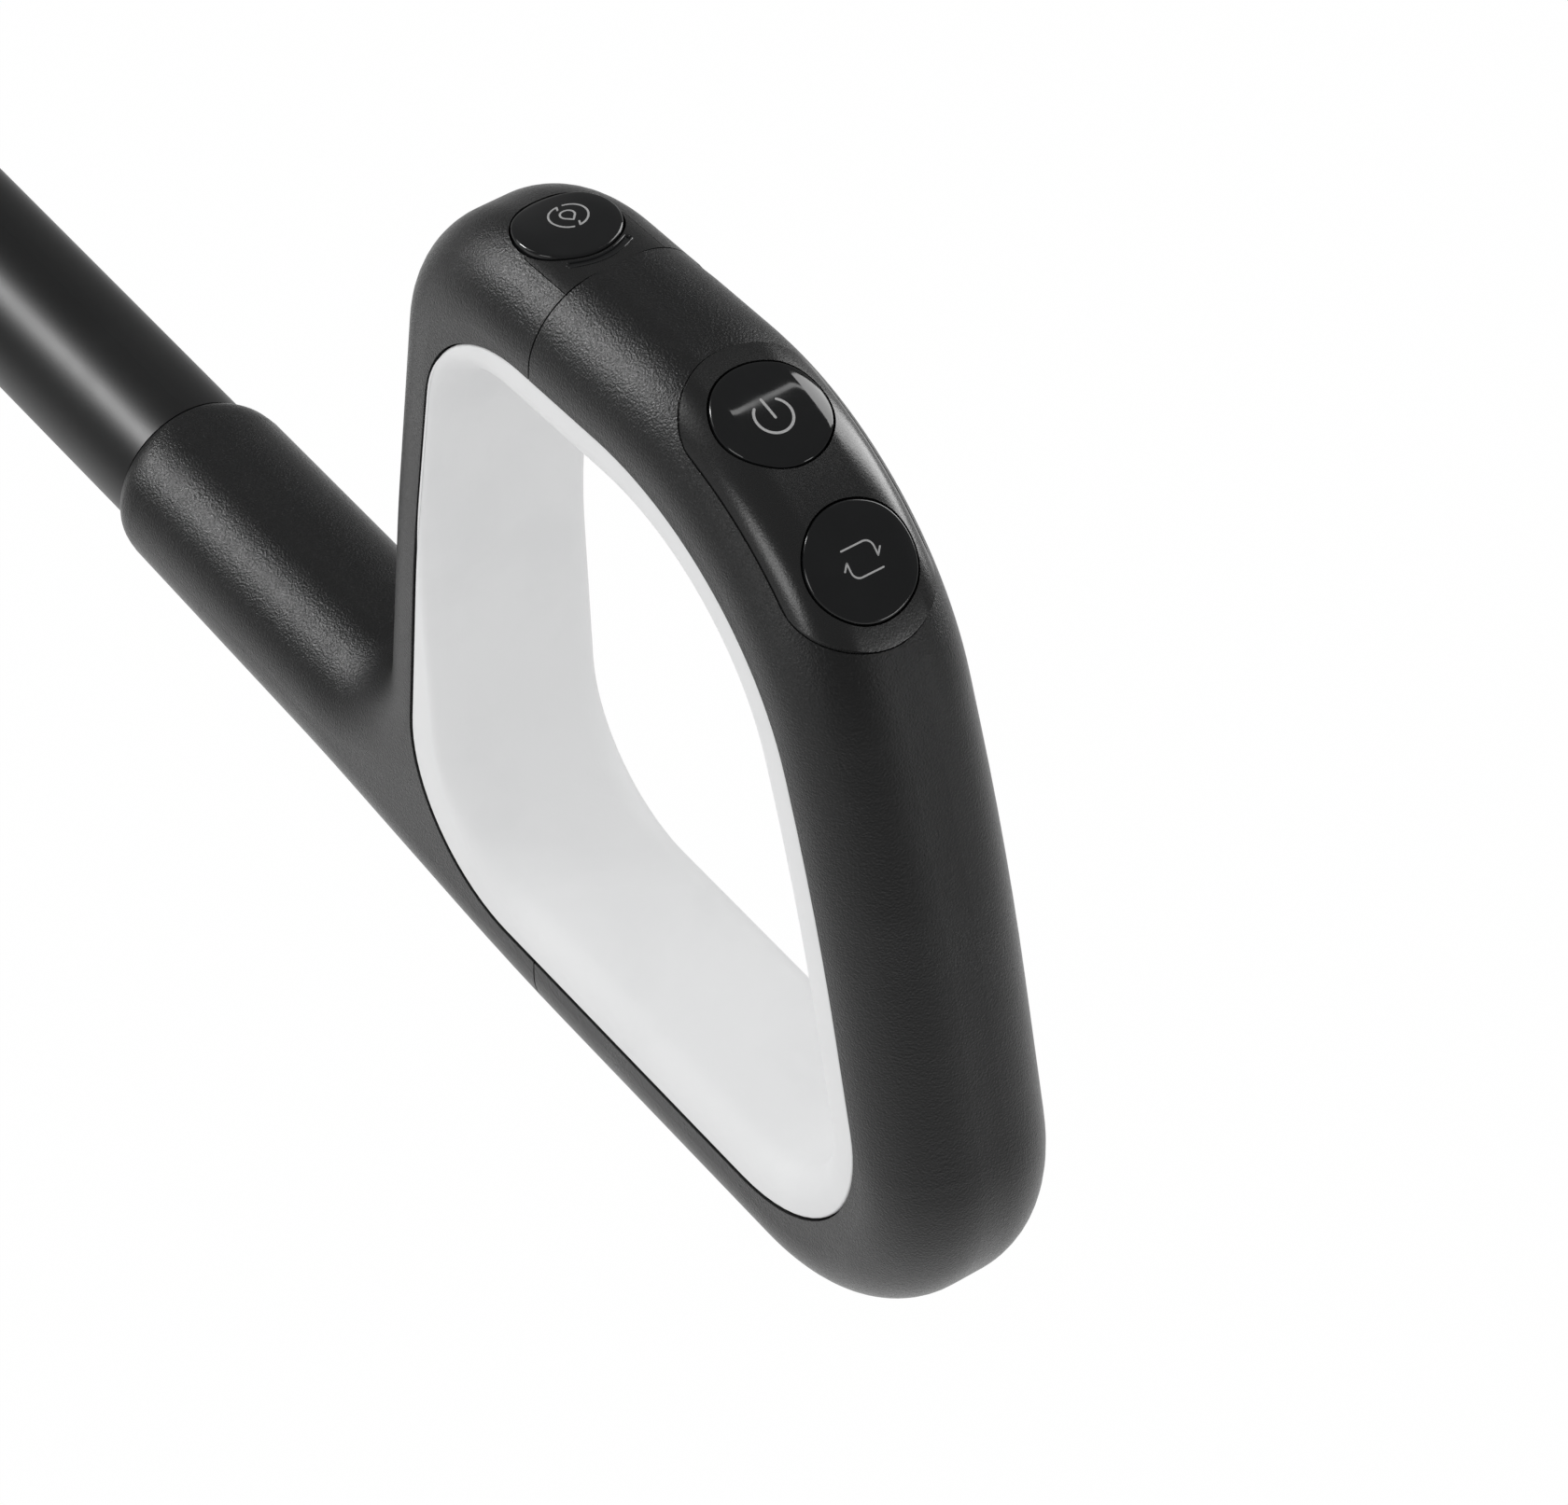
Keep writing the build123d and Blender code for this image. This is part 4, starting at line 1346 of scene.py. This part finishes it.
# ------------------------------------------------------------------------------
# Screws
# ------------------------------------------------------------------------------
@dataclass
class CrossHeadScrew:
    """Pan-head screw with a cross recess and a threaded shank, in millimetres.

    The recess narrows to recess_draft of its outline at recess_drop of its depth, and to
    recess_floor at its floor. The thread stops runout_share of a turn below the head, and the
    shank's tip is tip_share as wide as its root.
    """

    shank: float = 1.4
    root: float = 1.12
    length: float = 6.0
    pitch: float = 0.6
    head: float = 2.6
    head_side: float = 0.7
    head_height: float = 1.5
    arm_half_width: float = 0.36
    arm_angle: float = 15.0
    recess: float = 0.85
    recess_draft: float = 0.86
    recess_drop: float = 0.3
    recess_floor: float = 0.5
    tip_share: float = 0.6
    runout_share: float = 0.4
    spokes: int = 72
    cross_rings: int = 6
    dome_rings: int = 5
    dome_steps: int = 9

    def dome(self, radius: float) -> float:
        """Give the head's height at a distance from its axis."""
        share = min(radius / self.head, 1.0)
        return self.head_side + (self.head_height - self.head_side) * math.sqrt(1 - share ** 2)

    def cross(self, angle: float) -> float:
        """Give the cross recess's outline at an angle round the axis."""
        near = abs((angle + math.pi / 4) % (math.pi / 2) - math.pi / 4)
        arm = math.radians(self.arm_angle)
        if near <= arm + ROUNDING:
            return self.arm_half_width / math.tan(arm) / math.cos(near)
        return self.arm_half_width / math.sin(near)

    def rings(self) -> list[tuple[float, float, float | None]]:
        """Give each ring's share of the cross, its own radius, and its height if off the dome."""
        turns = int(self.length / self.pitch) - 1
        rings = [(0.0, self.root * self.tip_share, -self.length)]
        for k in range(turns):
            low = -self.length + self.pitch * (k + 0.5)
            rings += [(0.0, self.root, low), (0.0, self.shank, low + self.pitch * 0.5)]
        rings += [(0.0, self.root, -self.pitch * self.runout_share), (0.0, self.root, 0.0),
                  (0.0, self.head, 0.0), (0.0, self.head, self.head_side)]
        rings += [(0.0, self.head * math.cos(math.pi / 2 * k / self.dome_steps), None)
                  for k in range(1, self.dome_rings + 1)]
        inner = rings[-1][1]
        return rings + [(k / self.cross_rings, inner, None)
                        for k in range(1, self.cross_rings + 1)]

    def mesh(self, seat: Vector, normal: Vector, points: list[Vector],
             faces: list[Face]) -> None:
        """Add one screw to a mesh.

        Args:
            seat: Middle of the head's underside, in millimetres.
            normal: Direction in which the head faces.
            points: The mesh's points.
            faces: The mesh's faces.
        """
        along = Vector(LENGTHWAYS)
        across = normal.cross(along)
        start = len(points)
        sections = []
        for share, radius, height in self.rings():
            ring = []
            for k in range(self.spokes):
                angle = math.tau * k / self.spokes
                reach = radius + (self.cross(angle) - radius) * share
                ring.append((angle, reach, self.dome(reach) if height is None else height))
            sections.append(ring)
        lip = sections[-1]
        wall_drop, floor = self.recess_drop * self.recess, self.head_height - self.recess
        sections.append([(a, r * self.recess_draft, h - wall_drop) for a, r, h in lip])
        sections.append([(a, r * self.recess_floor, floor) for a, r, h in lip])
        for ring in sections:
            for angle, reach, height in ring:
                out = along * math.cos(angle) + across * math.sin(angle)
                points.append((seat + out * reach + normal * height) * MM)
        count = self.spokes
        faces += ring_faces(len(sections), count, first=start)
        faces.append(tuple(range(start + count - 1, start - 1, -1)))
        faces.append(tuple(range(len(points) - count, len(points))))


@dataclass
class ScrewSet:
    """The screws under the pole and the neck, and those that tie the two shells."""

    outline: LoopOutline
    pole_radius: float = 14.0
    spot_face: float = 0.3
    tube_xs: Pair = (265.9, 286.9)
    neck_xs: Pair = (316.9, 337.9)
    neck_depth: float = 14.5
    neck_slope: float = 2.4 / 66.0
    sink: float = 0.2
    shell_x: float = 137.15
    shell_turn: float = 30.0
    half_width: float = 16.8
    edge_round: float = 13.9

    def seats(self) -> dict[str, list[tuple[Vector, Vector]]]:
        """List the seat and direction of each screw, by the CAD node that it belongs to."""
        screw = CrossHeadScrew()
        down = Vector((0.0, 0.0, -1.0))
        tube = [(Vector((x, 0.0, self.spot_face - self.pole_radius)), down) for x in self.tube_xs]
        inset = self.sink + screw.head_height
        neck = []
        for x in self.neck_xs:
            z = inset - self.neck_depth - self.neck_slope * (x - LOOP_DATUM)
            neck.append((Vector((x, 0.0, z)), down))
        crown = CrownSurface(self.outline, 0.0, self.half_width, self.edge_round)
        turn = math.radians(self.shell_turn)
        shell = []
        for up in (1, -1):
            crest = crown.crest(self.shell_x, up)
            normal = Vector((0.0, math.cos(turn), up * math.sin(turn)))
            centre = Vector((LOOP_DATUM + crest.x, self.half_width - self.edge_round,
                             crest.y - up * self.edge_round))
            shell.append((centre + normal * (self.edge_round - inset), normal))
        return {"tube_screws": tube, "neck_screws": neck, "shell_screws": shell}

    def build(self, materials: Materials) -> None:
        """Build each group of screws and let it stand for its CAD node.

        Args:
            materials: The handle's materials by slot.
        """
        for node, seats in self.seats().items():
            points, faces = [], []
            for seat, normal in seats:
                CrossHeadScrew().mesh(seat, normal, points, faces)
            made = mesh_piece(node + "_cross_head", points, faces, "handle",
                              materials["screws"], sharp_degrees=25.0)
            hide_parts(node)


# ------------------------------------------------------------------------------
# Studio
# ------------------------------------------------------------------------------
@dataclass(frozen=True)
class PhotoCamera:
    """Camera at the photograph's viewing angle, in the CAD's frame."""

    position: Triple = (1.209655, -0.556667, 1.005830)
    right: Triple = (0.59305287, 0.80501624, 0.01539949)
    down: Triple = (0.57974742, -0.41366966, -0.70197602)
    forward: Triple = (-0.5587318, 0.42523671, -0.71203407)
    focal_pixels: float = 8800.0
    image_width: float = 1680.0
    sensor_width: float = 36.0
    clip: Pair = (0.01, 20.0)

    def build(self) -> bpy.types.Object:
        """Make the camera and use it for the scene."""
        data = bpy.data.cameras.new("photo_camera")
        data.sensor_fit = "HORIZONTAL"
        data.sensor_width = self.sensor_width
        data.lens = self.focal_pixels * self.sensor_width / self.image_width
        data.clip_start, data.clip_end = self.clip
        made = new_object("photo_camera", data)
        up, back = -Vector(self.down), -Vector(self.forward)
        axes = Matrix((self.right, up, back)).transposed()
        made.matrix_world = Matrix.Translation(self.position) @ axes.to_4x4()
        bpy.context.scene.camera = made
        return made


@dataclass(frozen=True)
class SoftBox:
    """One rectangular studio lamp that points at the handle.

    A lamp that doesn't light matt surfaces is only mirrored, as a sheen along the black plastic.
    """

    name: str
    direction: Triple
    distance: float
    width: float
    height: float
    power: float
    long_axis: Triple = LENGTHWAYS
    lights_matt: bool = True
    target: Triple = (0.38, 0.0, 0.08)

    def build(self) -> bpy.types.Object:
        """Make the lamp."""
        data = bpy.data.lights.new(self.name, "AREA")
        data.shape = "RECTANGLE"
        data.size, data.size_y = self.width, self.height
        data.energy = self.power
        made = new_object(self.name, data)
        back, long_axis = Vector(self.direction).normalized(), Vector(self.long_axis)
        across = (long_axis - back * long_axis.dot(back)).normalized()
        axes = Matrix((across, back.cross(across), back)).transposed()
        place = Vector(self.target) + back * self.distance
        made.matrix_world = Matrix.Translation(place) @ axes.to_4x4()
        made.visible_diffuse = self.lights_matt
        return made


@dataclass(frozen=True)
class Studio:
    """Pale floor, white surroundings, lamps and camera.

    Camera rays see pure white all round. Matt surfaces are lit by the surroundings, and glossy
    ones mirror a grey ceiling and a floor that dims away from the handle.
    """

    floor_height: float = -0.30
    floor_size: float = 8.0
    floor_tones: Pair = (0.86, 0.84)
    clouds_per_metre: float = 1.5
    glow_share: float = 0.985
    middle: Triple = (0.38, 0.0, -0.30)
    near_floor_radius: float = 0.35
    far_floor_radius: float = 1.4
    far_floor: float = 0.36
    surround: float = 0.87
    ceiling: float = 0.19
    horizon: float = -0.08
    horizon_depth: float = 0.2

    def lamps(self) -> list[SoftBox]:
        """List the lamps."""
        mirrored = [
            ("key_box", (-0.65, -0.52, 0.50), 1.0, 0.22, 0.22, 6.1, LENGTHWAYS),
            ("far_wall", (-0.03, 0.9, 0.40), 1.1, 1.2, 0.5, 11.6, UPRIGHT),
            ("far_bar", (-0.125, 0.5, 0.875), 1.1, 0.28, 0.03, 0.11, SIDEWAYS),
            ("front_box", (0.89, 0.44, 0.12), 1.1, 0.2, 0.2, 1.15, SIDEWAYS),
            ("near_box", (0.18, -0.96, 0.21), 1.1, 0.42, 0.36, 2.0, LENGTHWAYS),
        ]
        fill = SoftBox("fill_box", (-0.65, -0.52, 0.50), 1.2, 0.7, 0.7, 3.2)
        return [fill] + [SoftBox(*values, lights_matt=False) for values in mirrored]

    def floor_material(self) -> bpy.types.Material:
        """Make the pale floor, which looks white to the camera and keeps a soft shadow. For glossy
        rays it glows as a painted pool of light, full under the handle and dimming with distance.
        """
        made = bpy.data.materials.new("pale_floor")
        tree = cleared_tree(made)
        place = object_place(tree)
        tone = tree.noise(place, self.clouds_per_metre, 2.0)
        colour = tree.mix(tone, *(grey(value) for value in self.floor_tones))
        matt = tree.add("BsdfDiffuse", {"Color": colour})
        # painted pool of light: the glow that glossy surfaces mirror is full near the handle and
        # dims with distance
        away = tree.add("VectorMath", {0: place, 1: self.middle}, operation="DISTANCE")
        mirrored = tree.ramp(away.outputs["Value"], self.near_floor_radius, self.far_floor_radius,
                             1.0, self.far_floor)
        path = tree.add("LightPath")
        strength = tree.add("Mix", {0: path.outputs["Is Glossy Ray"], 2: 1.0, 3: mirrored},
                            data_type="FLOAT")
        glow = tree.add("Emission", {"Color": grey(1.0), "Strength": strength.outputs[0]})
        seen = tree.math("MAXIMUM", path.outputs["Is Camera Ray"], path.outputs["Is Glossy Ray"])
        seen = tree.math("MAXIMUM", seen, path.outputs["Is Transmission Ray"])
        share = tree.math("MULTIPLY", seen, self.glow_share)
        both = tree.add("MixShader", {0: share, 1: matt.outputs[0], 2: glow.outputs[0]})
        tree.add("OutputMaterial", {"Surface": both.outputs[0]})
        return made

    def lay_floor(self) -> None:
        """Lay the floor below the handle."""
        mesh = bpy.data.meshes.new("floor")
        half = self.floor_size / 2
        corners = [(-half, -half), (half, -half), (half, half), (-half, half)]
        mesh.from_pydata([(x, y, self.floor_height) for x, y in corners], [], [(0, 1, 2, 3)])
        mesh.materials.append(self.floor_material())
        floor = new_object("floor", mesh)

    def light_surroundings(self) -> None:
        """Make the world, white to the camera and grey to glossy surfaces."""
        world = bpy.data.worlds.new("white_room")
        tree = cleared_tree(world)
        path = tree.add("LightPath")
        glossy = path.outputs["Is Glossy Ray"]
        seen = tree.math("MAXIMUM", path.outputs["Is Camera Ray"],
                         path.outputs["Is Transmission Ray"])
        direction = tree.add("TexCoord").outputs["Generated"]
        height = tree.add("SeparateXYZ", {0: direction}).outputs["Z"]
        overhead = tree.ramp(height, self.horizon, self.horizon + self.horizon_depth,
                             self.far_floor, self.ceiling)
        mirrored = tree.math("MULTIPLY", glossy, overhead)
        plain = tree.math("MULTIPLY", tree.math("SUBTRACT", 1.0, glossy), self.surround)
        lit = tree.math("ADD", mirrored, plain)
        strength = tree.add("Mix", {0: seen, 2: lit, 3: 1.0}, data_type="FLOAT")
        glow = tree.add("Background", {"Color": grey(1.0), "Strength": strength.outputs[0]})
        tree.add("OutputWorld", {"Surface": glow.outputs[0]})
        bpy.context.scene.world = world

    def build(self) -> None:
        """Make the whole studio."""
        for lamp in self.lamps():
            lamp.build()
        self.lay_floor()
        self.light_surroundings()
        PhotoCamera().build()
        bpy.context.scene.view_settings.view_transform = "Standard"
        log.info("studio ready")


# ------------------------------------------------------------------------------
# Whole handle
# ------------------------------------------------------------------------------
class LoopHandle:
    """The whole handle: its CAD nodes with their finishes, and the pieces made here."""

    def __init__(self) -> None:
        """Make the materials and the outline that the pieces share."""
        self.materials = {slot: finish.material() for slot, finish in FINISHES.items()}
        self.outline = LoopOutline()

    def dress_nodes(self) -> None:
        """Give every CAD node the material of its slot."""
        for row in frame["record"]["subparts"]:
            node = frame["nodes"][row["node"]]
            node.data.materials.clear()
            node.data.materials.append(self.materials[row["material_slot"]])
            log.info("node %s: %s", row["node"], row["material_slot"])

    def build(self) -> None:
        """Dress the frame and build every piece."""
        self.dress_nodes()
        GripLiner(self.outline).build(self.materials)
        ButtonSet(self.outline).build(self.materials)
        ScrewSet(self.outline).build(self.materials)


def main() -> None:
    """Build the handle and the studio."""
    logging.basicConfig(level=logging.INFO, format="%(name)s: %(message)s")
    LoopHandle().build()
    Studio().build()


if __name__ == "__main__":
    main()
